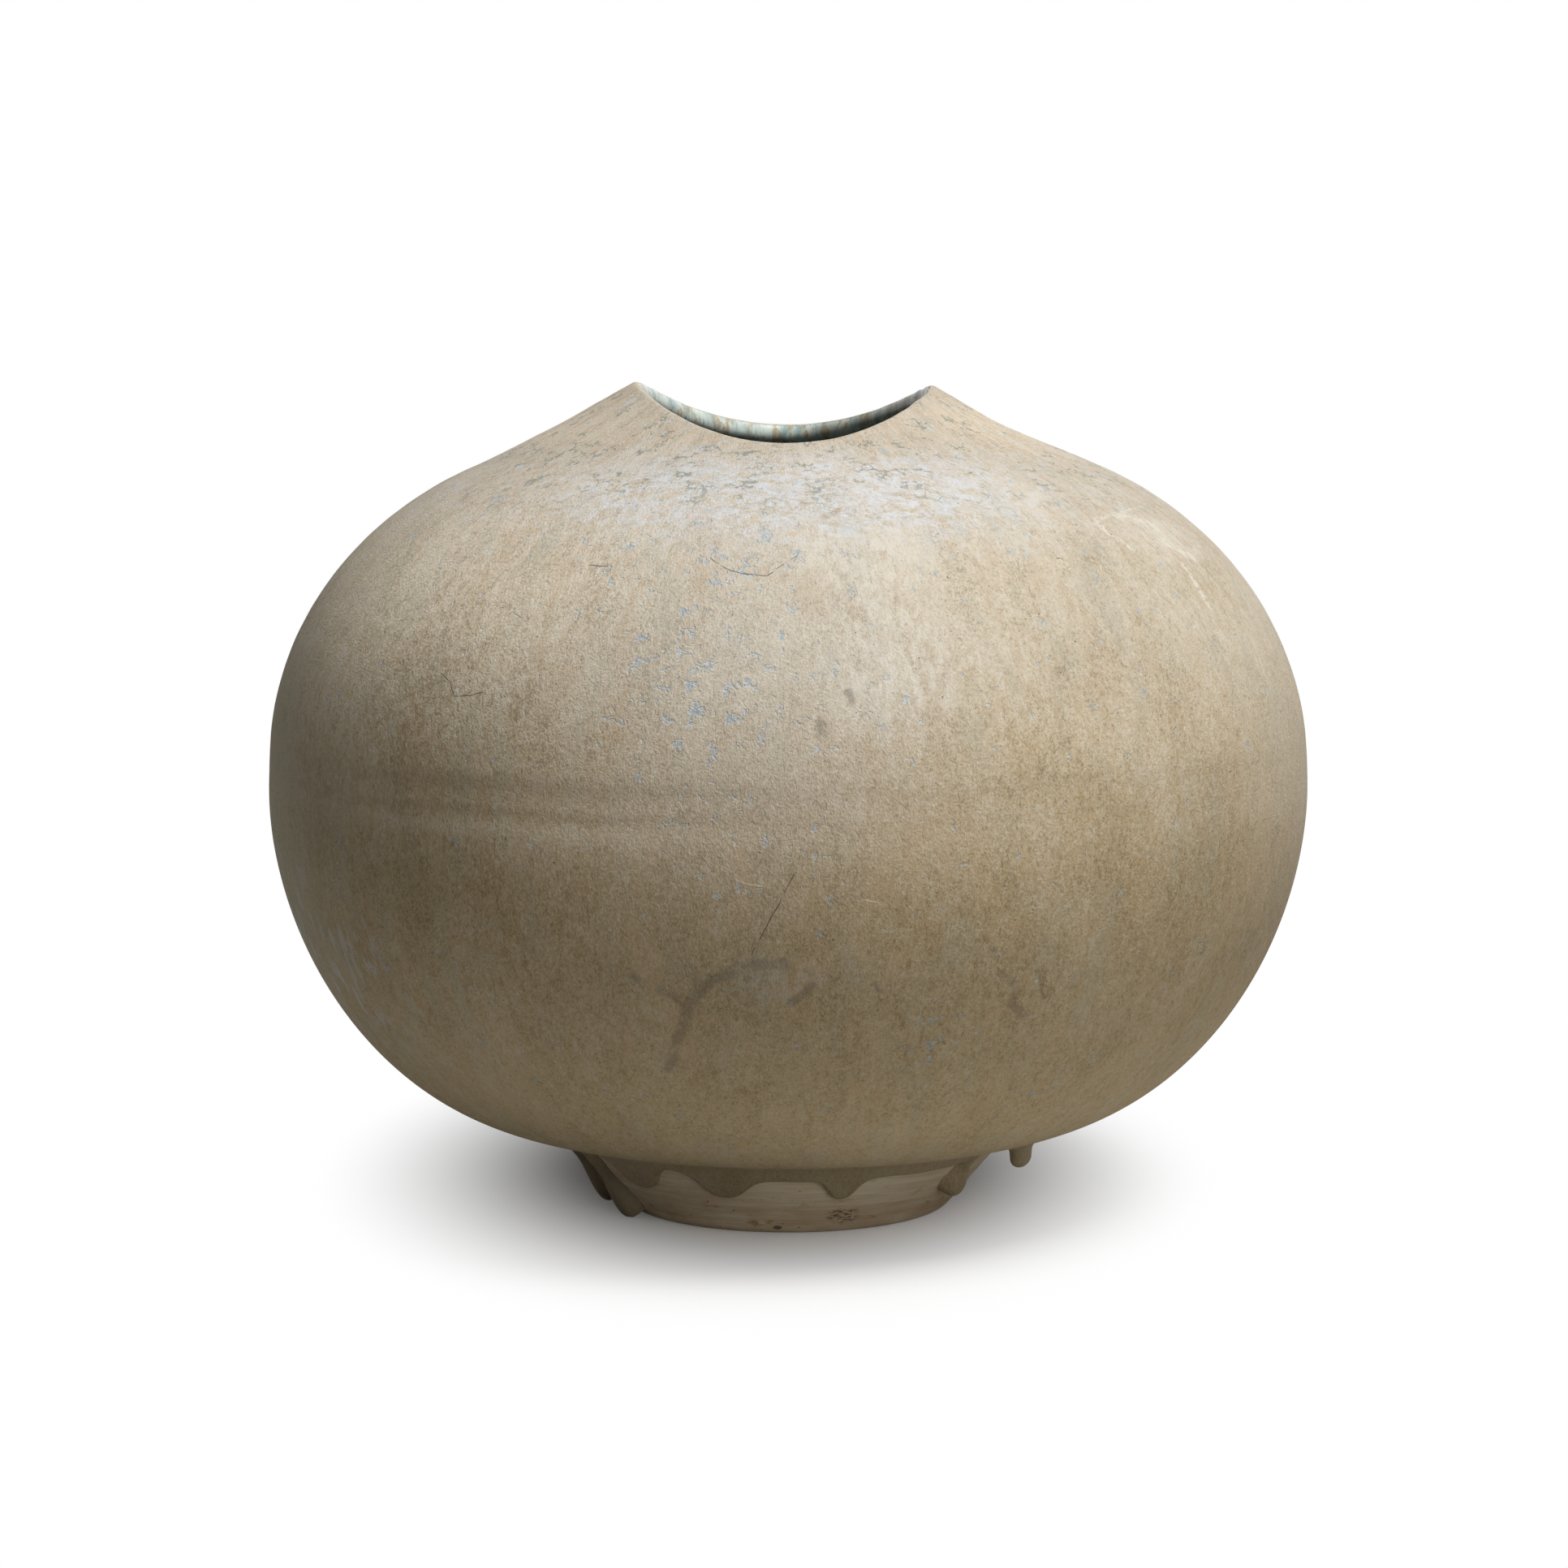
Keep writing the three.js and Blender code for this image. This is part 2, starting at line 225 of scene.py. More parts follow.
SMUDGES = (
    (((-16.4, 118.2), (-13.4, 114), (-10.8, 107.3)), 2.2),
    (((-10.4, 110), (-12.6, 92.2), (-13.9, 83)), 3.2),
    (((-10.2, 110.2), (-8.8, 115.5), (-6.3, 120.9), (-3.7, 124.2), (-0.5, 123.8)), 3.6),
    (((-9.4, 119.6), (-9.4, 117.6)), 3.4),
    (((0.3, 110), (2.5, 115.8)), 2.6),
    (((9, 116), (9.4, 113.5), (10.3, 113.7)), 1.2),
    (((23, 117.4), (24.6, 113.7), (25.1, 109.6), (24.7, 106.3), (26.7, 100.9)), 2.8),
    (((28, 113.8), (28.6, 107.8)), 1.8),
    (((3.1, 207.4), (3.4, 204.4)), 3),
    (((6.2, 217.5), (6.6, 214.5)), 2.5),
)

# Painted shade over the thick runs at the left of the foot: its middle and half sizes
SHADED_RUNS_MIDDLE = (-72 * MM, -25 * MM, 12 * MM)
SHADED_RUNS_SIZE = (30 * MM, 35 * MM, 24 * MM)

# Lining: where it turns brown along X, where painted shadow darkens it under the lip and painted shade
# deepens it lower down, and the size of its two tan points
BROWN_SIDE = (5 * MM, 30 * MM)
LIP_SHADOW = (3.4 * MM, 7.5 * MM)
DEEP_SHADE_FALL = (300 * MM, 200 * MM)
POINT_SIZE = (13 * MM, 16 * MM, 11 * MM)

# Bare foot: the heights where it is burnt, and where painted shade dims it along X
BURNT_FALL = (20 * MM, 3 * MM)
FOOT_SHADE_SIDE = (15 * MM, 60 * MM)

# Marks on the bare foot: angle from the front in degrees and height in mm, with half sizes or a width
FOOT_DASHES = (17.4, 7.3)
FOOT_DASHES_SIZE = (8.5 * MM, 12 * MM, 5 * MM)
FOOT_CHIP = (-3.5, 2.8)
FOOT_CHIP_SIZE = (2.2 * MM, 6 * MM, 0.9 * MM)
FOOT_SCRATCH = ((5.9, 6.8), (8.5, 7.5))
FOOT_SCRATCH_WIDTH = 0.6 * MM


# Sizes and colours

def length(name, description, size):
    """A length property."""
    return FloatProperty(name=name, description=description, default=size, unit="LENGTH")


def slope(name, description, degrees):
    """An angle property."""
    return FloatProperty(name=name, description=description, default=math.radians(degrees), subtype="ANGLE")


def colour(name, description, red, green, blue):
    """A colour property with linear values."""
    return FloatVectorProperty(name=name, description=description, subtype="COLOR", size=4, min=0, max=1,
                               default=(red, green, blue, 1))


class PotShape(bpy.types.PropertyGroup):
    """Sizes of the pot's visible surfaces."""

    shoulder_radius: length("Shoulder radius", "Radius of the outline where the collar begins", 124.5 * MM)
    shoulder_height: length("Shoulder height", "Height of the outline where the collar begins", 285 * MM)
    peak_radius: length("Peak radius", "Distance of the lip's two points from the axis", 57.5 * MM)
    mouth_dip: length("Mouth dip", "How far the lip dips between its two points", 18.6 * MM)
    foot_radius: length("Foot radius", "Radius of the bare foot at the floor", 62 * MM)
    foot_height: length("Foot height", "Height of the crease between the foot and the bowl", 31.8 * MM)
    foot_flare: slope("Foot flare", "Slope of the foot's side", 50)
    foot_rim: length("Foot rim", "Width of the ring that the pot rests on", 12 * MM)
    coat: length("Coat", "Thickness of the outer glaze over the clay", 1.8 * MM)
    wall_at_foot: length("Wall at foot", "Thickness of the clay wall at the foot, with the lining", 10.1 * MM)
    wall_at_lip: length("Wall at lip", "Thickness of the clay wall at the lip, with the lining", 5.1 * MM)
    lean: length("Lean", "How far the collar was set off to one side", 1.6 * MM)
    tilt: slope("Tilt", "Tilt of the collar, higher on the left", 0.8)
    seam_depth: length("Seam depth", "Depth of the hollow that fingers left over the belly seam", 0.9 * MM)


class PotColours(bpy.types.PropertyGroup):
    """Colours of the glazes and the clay."""

    base: colour("Base", "Dry glaze near the foot", 0.49, 0.378, 0.212)
    olive: colour("Olive", "Dry glaze under the belly", 0.395, 0.302, 0.17)
    tan: colour("Tan", "Dry glaze at the belly", 0.555, 0.45, 0.30)
    # Pale also paints the light on the pale ring under the belly hollow
    pale: colour("Pale", "Dry glaze above the belly", 0.645, 0.56, 0.425)
    shoulder: colour("Shoulder", "Dry glaze by the lip", 0.66, 0.575, 0.455)
    cream: colour("Cream", "Cream streaks and patches", 0.78, 0.725, 0.62)
    # Brown also paints the shade in the rings over the belly seam
    brown: colour("Brown", "Brown rings and the brown side of the lining", 0.33, 0.245, 0.15)
    grain: colour("Grain", "What darkens the dry glaze in its grain", 0.64, 0.61, 0.56)
    rust: colour("Rust", "Warm streaks", 0.50, 0.35, 0.20)
    slate: colour("Slate", "Grey-green streaks and the cast on the left", 0.37, 0.37, 0.29)
    peach: colour("Peach", "Peach mottling on the shoulder", 0.73, 0.59, 0.43)
    frost: colour("Frost", "Lavender-white flecks on the shoulder", 0.75, 0.79, 0.85)
    mist: colour("Mist", "Pale blue marks", 0.60, 0.665, 0.70)
    blue: colour("Blue", "Middle of the blue pits", 0.21, 0.32, 0.38)
    moss: colour("Moss", "Grey-green worms by the lip", 0.25, 0.27, 0.23)
    # Smoke also paints the shadow under the lip inside
    smoke: colour("Smoke", "Smudges, cracks and pinholes", 0.12, 0.10, 0.075)
    # Hem also paints the shade under the crease, on the hanging drop and on the runs at the left
    hem: colour("Hem", "Thick glaze at the foot", 0.23, 0.185, 0.125)
    lining: colour("Lining", "Blue-green glaze inside", 0.81, 0.90, 0.83)
    # Deep lining also paints the shade lower down inside
    lining_deep: colour("Deep lining", "Dark streaks inside", 0.27, 0.42, 0.42)
    ochre: colour("Ochre", "Ochre streaks inside", 0.57, 0.42, 0.24)
    clay: colour("Clay", "Bare clay of the foot", 0.74, 0.585, 0.385)
    clay_pale: colour("Pale clay", "Raised lines of the bare clay", 0.87, 0.75, 0.56)
    clay_burnt: colour("Burnt clay", "Orange-brown bloom near the floor", 0.52, 0.31, 0.14)
    slip: colour("Slip", "Slip in the seams", 0.36, 0.27, 0.20)


# Outline

def heading(angle):
    """Unit direction in the section, as radius and height."""
    return np.array((math.cos(angle), math.sin(angle)))


def curve(start, start_handle, end_handle, end):
    """Points of a Bezier curve in the section, without its last one."""
    t = np.linspace(0, 1, CURVE_STEPS, endpoint=False)[:, None]
    u = 1 - t
    return u ** 3 * start + 3 * u * u * t * start_handle + 3 * u * t * t * end_handle + t ** 3 * end


def straight(start, end):
    """Points of a straight stretch in the section, without its last one."""
    return curve(start, start + (end - start) / 3, end - (end - start) / 3, end)


def distances(points):
    """Distance of each point along the line through them."""
    return np.concatenate(((0,), np.cumsum(np.hypot(*np.diff(points, axis=0).T))))


class Outline:
    """The glazed outline: radius and height at a distance along it, from the floor to past the lip."""

    def __init__(self, shape):
        up_foot = heading(shape.foot_flare)
        underside = heading(UNDERSIDE_SLOPE)
        upright = heading(math.pi / 2)
        over_shoulder = heading(math.pi - SHOULDER_SLOPE)
        over_peak = heading(math.pi - PEAK_SLOPE)
        belly_height = (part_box("lower_bowl")[1].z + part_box("upper_bowl")[0].z) / 2
        toe = np.array((shape.foot_radius + shape.coat / math.sin(shape.foot_flare), 0))
        crease = toe + up_foot * shape.foot_height / math.sin(shape.foot_flare)
        crease_low = crease - up_foot * CREASE_ROUND
        bowl_start = crease + underside * CREASE_ROUND
        belly = np.array((CAD_HIGH.x, belly_height))
        shoulder = np.array((shape.shoulder_radius, shape.shoulder_height))
        peak = np.array((shape.peak_radius, CAD_HIGH.z))
        stretches = (
            straight(toe, crease_low),
            curve(crease_low, (crease_low + 2 * crease) / 3, (bowl_start + 2 * crease) / 3, bowl_start),
            curve(bowl_start, bowl_start + underside * BOWL_START_PULL,
                  belly - upright * BOWL_BELLY_PULL, belly),
            curve(belly, belly + upright * DOME_BELLY_PULL,
                  shoulder - over_shoulder * DOME_SHOULDER_PULL, shoulder),
            curve(shoulder, shoulder + over_shoulder * COLLAR_SHOULDER_PULL,
                  peak - over_peak * COLLAR_PEAK_PULL, peak),
            straight(peak, peak + over_peak * PAST_PEAK),
        )
        points = np.vstack(stretches)
        self.radius, self.height = points.T
        self.course = distances(points)
        self.along_radius = np.gradient(self.radius, self.course)
        self.along_height = np.gradient(self.height, self.course)
        ends = self.course[CURVE_STEPS::CURVE_STEPS]
        self.crease_low, self.bowl_start, self.belly, self.shoulder, self.peak = ends
        self.top = self.course[-1]
        self.belly_height = belly_height
        self.coat = shape.coat
        self.scoop_radius = (shape.peak_radius ** 2 + shape.mouth_dip ** 2) / (2 * shape.mouth_dip)
        self.scoop_height = CAD_HIGH.z - shape.mouth_dip + self.scoop_radius

    def at(self, course, depth=0.0):
        """Radius and height at a distance along the outline and a depth under it."""
        along_radius = np.interp(course, self.course, self.along_radius)
        along_height = np.interp(course, self.course, self.along_height)
        radius = np.interp(course, self.course, self.radius) - along_height * depth
        height = np.interp(course, self.course, self.height) + along_radius * depth
        return radius, height

    def course_at_height(self, height):
        """Distance along the outline where it reaches a height."""
        return np.interp(height, self.height, self.course)

    def lip(self, angle):
        """Distance along the outline where a cylinder lying along Y scoops the mouth, at an angle."""
        low = np.full_like(angle, self.shoulder)
        high = np.full_like(angle, self.top)
        for _ in range(LIP_HALVINGS):
            middle = (low + high) / 2
            radius, height = self.at(middle)
            scooped = np.hypot(radius * np.cos(angle), height - self.scoop_height) < self.scoop_radius
            low = np.where(scooped, low, middle)
            high = np.where(scooped, middle, high)
        return low


def wall_depth(shape, outline, course):
    """Depth of the lining's face under the glazed outline."""
    wall = shape.wall_at_foot + (shape.wall_at_lip - shape.wall_at_foot) * course / outline.top
    return shape.coat + wall


# Modelling

def smooth(low, high, value):
    """Smooth step from 0 at low to 1 at high; low may be the larger."""
    share = np.clip((value - low) / (high - low), 0, 1)
    return share * share * (3 - 2 * share)


def turned(angle):
    """An angle brought to within half a turn of zero."""
    return (angle + math.pi) % (2 * math.pi) - math.pi


def roughen(angle, course, around, along, seed):
    """Smooth noise from about -1 to 1 on the turned surface, finer with larger values around and along it."""
    columns = (np.cos(angle) * around, np.sin(angle) * around, course * along + seed)
    return np.array([noise.noise(point) for point in zip(*(column.tolist() for column in columns))])


def belly_hollow(shape, angle, height):
    """Depth of the hollow over the belly seam, deepest on the left of the front, with a small ridge in it."""
    near_deepest = np.exp(-(turned(angle - HOLLOW_ANGLE) / HOLLOW_SPREAD) ** 2)
    share = HOLLOW_LEAST + (1 - HOLLOW_LEAST) * near_deepest
    hollow = np.exp(-((height - HOLLOW_HEIGHT) / HOLLOW_REACH) ** 2)
    ridge = RIDGE_SHARE * np.exp(-((height - RIDGE_HEIGHT) / RIDGE_REACH) ** 2)
    return shape.seam_depth * share * (hollow - ridge)


def unevenness(angle, course):
    """Depth of the slow unevenness of the thrown wall."""
    return UNEVEN_DEPTH * roughen(angle, course, *UNEVEN_NOISE)


def spun(name, section, columns, closed):
    """Spins a section, given as radius and height, once round the axis; its vertices keep their row."""
    bpy.ops.object.select_all(action="DESELECT")
    bpy.ops.mesh.primitive_circle_add(vertices=len(section), radius=section[:, 0].max())
    piece = bpy.context.object
    piece.name = name
    piece.data.name = name
    corners = np.column_stack((section[:, 0], np.zeros(len(section)), section[:, 1]))
    piece.data.vertices.foreach_set("co", corners.ravel())
    row = piece.data.attributes.new("row", "INT", "POINT")
    row.data.foreach_set("value", np.arange(len(section)))
    if not closed:
        open_section(piece, {0, len(section) - 1})
    bpy.ops.object.mode_set(mode="EDIT")
    sector = 2 * math.pi / SECTORS
    axis = {"center": (0, 0, 0), "axis": (0, 0, 1)}
    bpy.ops.mesh.select_all(action="SELECT")
    bpy.ops.mesh.spin(steps=columns // SECTORS, angle=sector, **axis)
    bpy.ops.mesh.select_all(action="SELECT")
    bpy.ops.mesh.spin(steps=SECTORS - 1, angle=2 * math.pi - sector, dupli=True, **axis)
    bpy.ops.mesh.select_all(action="SELECT")
    bpy.ops.mesh.remove_doubles(threshold=MERGE_DISTANCE)
    bpy.ops.mesh.normals_make_consistent(inside=False)
    bpy.ops.object.mode_set(mode="OBJECT")
    return piece


def open_section(piece, ends):
    """Deletes the edge that joins a section's two ends."""
    for edge in piece.data.edges:
        edge.select = set(edge.vertices) == ends
    for vertex in piece.data.vertices:
        vertex.select = vertex.index in ends
    bpy.ops.object.mode_set(mode="EDIT")
    bpy.ops.mesh.select_mode(type="EDGE")
    bpy.ops.mesh.delete(type="EDGE")
    bpy.ops.mesh.select_mode(type="VERT")
    bpy.ops.object.mode_set(mode="OBJECT")


def rows_and_angles(piece):
    """The row of each vertex in its section, and its angle round the axis."""
    count = len(piece.data.vertices)
    places = np.empty(count * 3)
    piece.data.vertices.foreach_get("co", places)
    places = places.reshape(-1, 3)
    row = np.empty(count, int)
    piece.data.attributes["row"].data.foreach_get("value", row)
    return row, np.arctan2(places[:, 1], places[:, 0])


def around_axis(radius, angle, height):
    """Places at a radius, an angle and a height."""
    return radius * np.cos(angle), radius * np.sin(angle), height


def leaned(shape, x, y, z):
    """The collar's small lean and tilt, which fade out down the shoulder."""
    share = smooth(LEAN_START, LEAN_FULL, z)
    return x - shape.lean * share, y, z - x * math.tan(shape.tilt) * share


def set_places(piece, x, y, z):
    """Moves the vertices to their modelled places."""
    piece.data.vertices.foreach_set("co", np.column_stack((x, y, z)).ravel())
    piece.data.update()


def polar_map(piece, section, row, angle, back):
    """Lays a coat out as a disc: its seen rows from the rim inwards, its back rows in the middle."""
    seen = distances(section[~back])
    reach = np.linspace(*DISC_BACK, len(section))
    reach[~back] = DISC_RIM - DISC_SEEN * seen / seen[-1]
    layer = piece.data.uv_layers.new(name=MAP_NAME)
    piece.data.uv_layers.active = layer
    layer.active_render = True
    for other in [one.name for one in piece.data.uv_layers if one.name != MAP_NAME]:
        piece.data.uv_layers.remove(piece.data.uv_layers[other])
    layer = piece.data.uv_layers[MAP_NAME]
    corner = np.empty(len(piece.data.loops), int)
    piece.data.loops.foreach_get("vertex_index", corner)
    corner_row = row[corner]
    faces = piece.data.polygons
    face = np.repeat(np.arange(len(faces)), [len(one.vertices) for one in faces])
    hidden = np.zeros(len(faces), bool)
    np.logical_or.at(hidden, face, back[corner_row])
    edge_of_back = hidden[face] & ~back[corner_row]
    edge_reach = np.where(corner_row == 0, DISC_GAP, reach[~back].min() - DISC_GAP)
    share = np.where(edge_of_back, edge_reach, reach[corner_row])
    spots = 0.5 + np.column_stack((np.cos(angle[corner]), np.sin(angle[corner]))) * share[:, None]
    layer.data.foreach_set("uv", spots.ravel())


def finish_piece(piece, material, slot, *nodes):
    """Smooths the piece's shading, gives it its finish and sets it on the pot's body."""
    piece.data.attributes.remove(piece.data.attributes["row"])
    bpy.ops.object.select_all(action="DESELECT")
    piece.select_set(True)
    bpy.context.view_layer.objects.active = piece
    bpy.ops.object.shade_smooth_by_angle(angle=SHARP_EDGE)
    piece.data.materials.clear()
    piece.data.materials.append(material)
    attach(piece, "root")
    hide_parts(*nodes)


# Shader wiring

class Wire:
    """An output socket in a material. Sums with numbers and other wires add Math nodes."""

    def __init__(self, socket):
        self.socket = socket
        self.tree = socket.id_data

    def node(self, kind, inputs, output=0, stops=(), **settings):
        """Adds a node of a kind: its settings first, then the values or wires of its sockets."""
        made = self.tree.nodes.new("ShaderNode" + kind)
        for name, value in settings.items():
            setattr(made, name, value)
        for place, shade in stops:
            made.color_ramp.elements.new(place).color = shade
        if stops:
            made.color_ramp.elements.remove(made.color_ramp.elements[0])
            made.color_ramp.elements.remove(made.color_ramp.elements[-1])
        for name, value in inputs.items():
            if isinstance(value, Wire):
                self.tree.links.new(value.socket, made.inputs[name])
            else:
                made.inputs[name].default_value = value
        return Wire(made.outputs[output])

    def math(self, operation, *values):
        """A Math node on this wire."""
        return self.node("Math", dict(enumerate((self, *values))), operation=operation)

    def __add__(self, other):
        return self.math("ADD", other)

    __radd__ = __add__

    def __sub__(self, other):
        return self.math("SUBTRACT", other)

    def __rsub__(self, other):
        return self.node("Math", {0: other, 1: self}, operation="SUBTRACT")

    def __mul__(self, other):
        return self.math("MULTIPLY", other)

    __rmul__ = __mul__

    def __truediv__(self, other):
        return self.math("DIVIDE", other)

    def __rtruediv__(self, other):
        return self.node("Math", {0: other, 1: self}, operation="DIVIDE")

    def most(self, other):
        """The larger of two values."""
        return self.math("MAXIMUM", other)

    def step(self, low, high):
        """Smooth step from 0 at low to 1 at high; low may be the larger."""
        ends = {"Value": self, "From Min": min(low, high), "From Max": max(low, high)}
        rising = self.node("MapRange", ends, interpolation_type="SMOOTHSTEP")
        return rising if low < high else 1 - rising

    def band(self, begin, middle, end):
        """1 at the middle of a band and 0 outside it."""
        return self.step(begin, middle) * self.step(end, middle)

    def mix(self, low, high):
        """A colour between two, by this value."""
        return self.node("Mix", {0: self, 6: low, 7: high}, 2, data_type="RGBA")

    def tint(self, amount, other):
        """This colour, mixed with another by an amount."""
        return self.node("Mix", {0: amount, 6: self, 7: other}, 2, data_type="RGBA")

    def darkened(self, other):
        """This colour, multiplied by another."""
        return self.node("Mix", {0: 1.0, 6: self, 7: other}, 2, data_type="RGBA", blend_type="MULTIPLY")

    def scaled(self, amount):
        """This colour or place, scaled by an amount."""
        return self.node("VectorMath", {0: self, "Scale": amount}, operation="SCALE")

    def vector(self, operation, other, output=0):
        """A Vector Math node on this wire."""
        return self.node("VectorMath", {0: self, 1: other}, output, operation=operation)

    def part(self, axis):
        """One coordinate of a vector."""
        return self.node("SeparateXYZ", {0: self}, "XYZ".index(axis))

    def length(self):
        """Length of a vector."""
        return self.node("VectorMath", {0: self}, 1, operation="LENGTH")

    def stretched(self, x, y, z):
        """This place, scaled along each axis."""
        return self.vector("MULTIPLY", (x, y, z))

    def moved(self, x, y, z):
        """This place, moved."""
        return self.vector("ADD", (x, y, z))

    def shaken(self, size, reach):
        """This place, moved by noise of a size, by up to about a reach."""
        wander = self.node("TexNoise", {"Vector": self, "Scale": 1 / size, "Detail": 2.0}, 1)
        wander = wander.vector("SUBTRACT", (0.5, 0.5, 0.5)).vector("MULTIPLY", (2 * reach,) * 3)
        return self.vector("ADD", wander)

    def grain(self, scale, detail=2.0, roughness=0.5, distortion=0.0):
        """Noise at this place, from 0 to 1."""
        inputs = {"Vector": self, "Scale": scale, "Detail": detail, "Roughness": roughness,
                  "Distortion": distortion}
        return self.node("TexNoise", inputs)

    def cells(self, spacing, output="Distance", **settings):
        """Cell pattern at this place."""
        return self.node("TexVoronoi", {"Vector": self, "Scale": 1 / spacing}, output, **settings)

    def near(self, centre, size, fade):
        """1 close to a point and 0 outside an ellipsoid of half sizes round it."""
        return self.vector("SUBTRACT", centre).vector("DIVIDE", size).length().step(1, 1 - fade)

    def stroke(self, points, width, fade):
        """1 on a line through points and 0 outside its width, with a soft edge."""
        nearest = None
        for start, end in zip(points, points[1:]):
            offset = self.vector("SUBTRACT", start)
            run = end - start
            share = offset.vector("DOT_PRODUCT", run / run.length_squared, 1)
            share = share.node("Clamp", {0: share})
            foot = share.node("VectorMath", {0: run, "Scale": share}, operation="SCALE")
            away = offset.vector("SUBTRACT", foot).length()
            nearest = away if nearest is None else nearest.math("MINIMUM", away)
        return nearest.step(width, width * (1 - fade))


def new_material(name):
    """A material, its Principled shader, and its Object coordinates as a wire."""
    material = bpy.data.materials.new(name)
    material.use_nodes = True
    tree = material.node_tree
    shader = tree.nodes["Principled BSDF"]
    place = Wire(tree.nodes.new("ShaderNodeTexCoord").outputs["Object"])
    return material, shader, place


def plug(shader, name, value):
    """Links a wire to one of the shader's sockets."""
    shader.id_data.links.new(value.socket, shader.inputs[name])


def emboss(shader, relief, strength, distance):
    """Raises the surface by a relief."""
    inputs = {"Height": relief, "Strength": strength, "Distance": distance}
    plug(shader, "Normal", relief.node("Bump", inputs))


def largest(wires):
    """The largest of several values."""
    found, *others = wires
    for other in others:
        found = found.most(other)
    return found


# Patterns

def running(place, outline, squeeze):
    """Coordinates that run down the pot as the glaze did, so that noise read there falls in even streaks."""
    across = place.stretched(1, 1, 0)
    radius = across.length()
    height = place.part("Z")
    upper = height.step(outline.belly_height - BELLY_TURN, outline.belly_height + BELLY_TURN)
    fall = (height + (CAD_HIGH.x - radius) * (upper * 2 - 1)) * squeeze
    level = height.node("CombineXYZ", {"Z": fall})
    return across.scaled(CAD_HIGH.x / radius).vector("ADD", level)


def squiggle(place, spacing, seed):
    """Distance from thin crooked lines, the shaken edges of cells of a spacing."""
    shift = seed * SEED_SHIFT
    shaken = place.moved(shift, -shift, shift).shaken(spacing / 2, spacing / 2)
    return shaken.cells(spacing, feature="DISTANCE_TO_EDGE") * spacing


def patches(place, size, seed, share):
    """1 in patches of about a size that cover roughly a share of the surface."""
    shift = seed * SEED_SHIFT
    low = 0.64 - 0.28 * share
    return place.moved(-shift, shift, shift).grain(0.8 / size, 2).step(low, low + 0.07)


def specks(place, spacing, size, share, seed):
    """Round specks of a size, in a share of the cells of a spacing."""
    shift = seed * SEED_SHIFT
    shifted = place.moved(shift, shift, -shift)
    chosen = shifted.cells(spacing, "Color").part("X").step(1 - share, 1 - share + 0.01)
    return shifted.cells(spacing).step(size / spacing, size / spacing * 0.55) * chosen


def marks_at(outline, *places, depth=0.0):
    """Points at a depth under the glaze, from angles from the front in degrees and heights in mm."""
    points = []
    for across, height in places:
        radius = float(outline.at(outline.course_at_height(height * MM), depth)[0])
        turn = math.radians(across)
        points.append(Vector((radius * math.sin(turn), -radius * math.cos(turn), height * MM)))
    return points


def spot(place, outline, mark, fade):
    """1 in the middle of a soft spot on the glaze and 0 outside it."""
    where, size = mark
    middle, = marks_at(outline, where)
    return place.near(middle, [half * MM for half in size], fade)


def strokes(place, outline, lines, fade):
    """1 on lines over the glaze and 0 outside their widths."""
    return largest([place.stroke(marks_at(outline, *points), width * MM, fade) for points, width in lines])


# Finishes

def lining_shade(place, colours, outline):
    """Colour of the blue-green glaze: pale, ochre and dark patches that ran, browner at the right, with
    painted shadow under the lip.
    """
    flow = place.stretched(1, 1, LINING_SQUEEZE)
    shade = flow.grain(110, 4, 0.6, 0.5).step(0.3, 0.55).mix(colours.lining_deep, colours.lining)
    layers = (
        ((0, 2, 0), (260, 4, 0.65, 0.5), (0.55, 0.68), 0.5, colours.cream),
        ((2, 0, 0), (300, 4, 0.65, 0.6), (0.51, 0.61), 0.8, colours.ochre),
        ((0, 0, 2), (380, 3, 0.6), (0.58, 0.68), 0.6, colours.lining_deep),
    )
    for shift, grain, ends, strength, other in layers:
        shade = shade.tint(flow.moved(*shift).grain(*grain).step(*ends) * strength, other)
    right = place.part("X").step(*BROWN_SIDE) * flow.moved(2, 2, 0).grain(90, 3).step(0.35, 0.55)
    shade = shade.tint(right * 0.55, colours.brown)
    # Painted shadow inside, under the front lip
    from_scoop = place.moved(0, 0, -outline.scoop_height).stretched(1, 0, 1).length() - outline.scoop_radius
    shade = shade.tint(from_scoop.step(*LIP_SHADOW) * 0.5, colours.smoke)
    reach, top = (float(part) for part in outline.at(outline.peak))
    for side in (-reach, reach):
        shade = shade.tint(place.near((side, 0, top), POINT_SIZE, 0.5), colours.shoulder)
    return shade


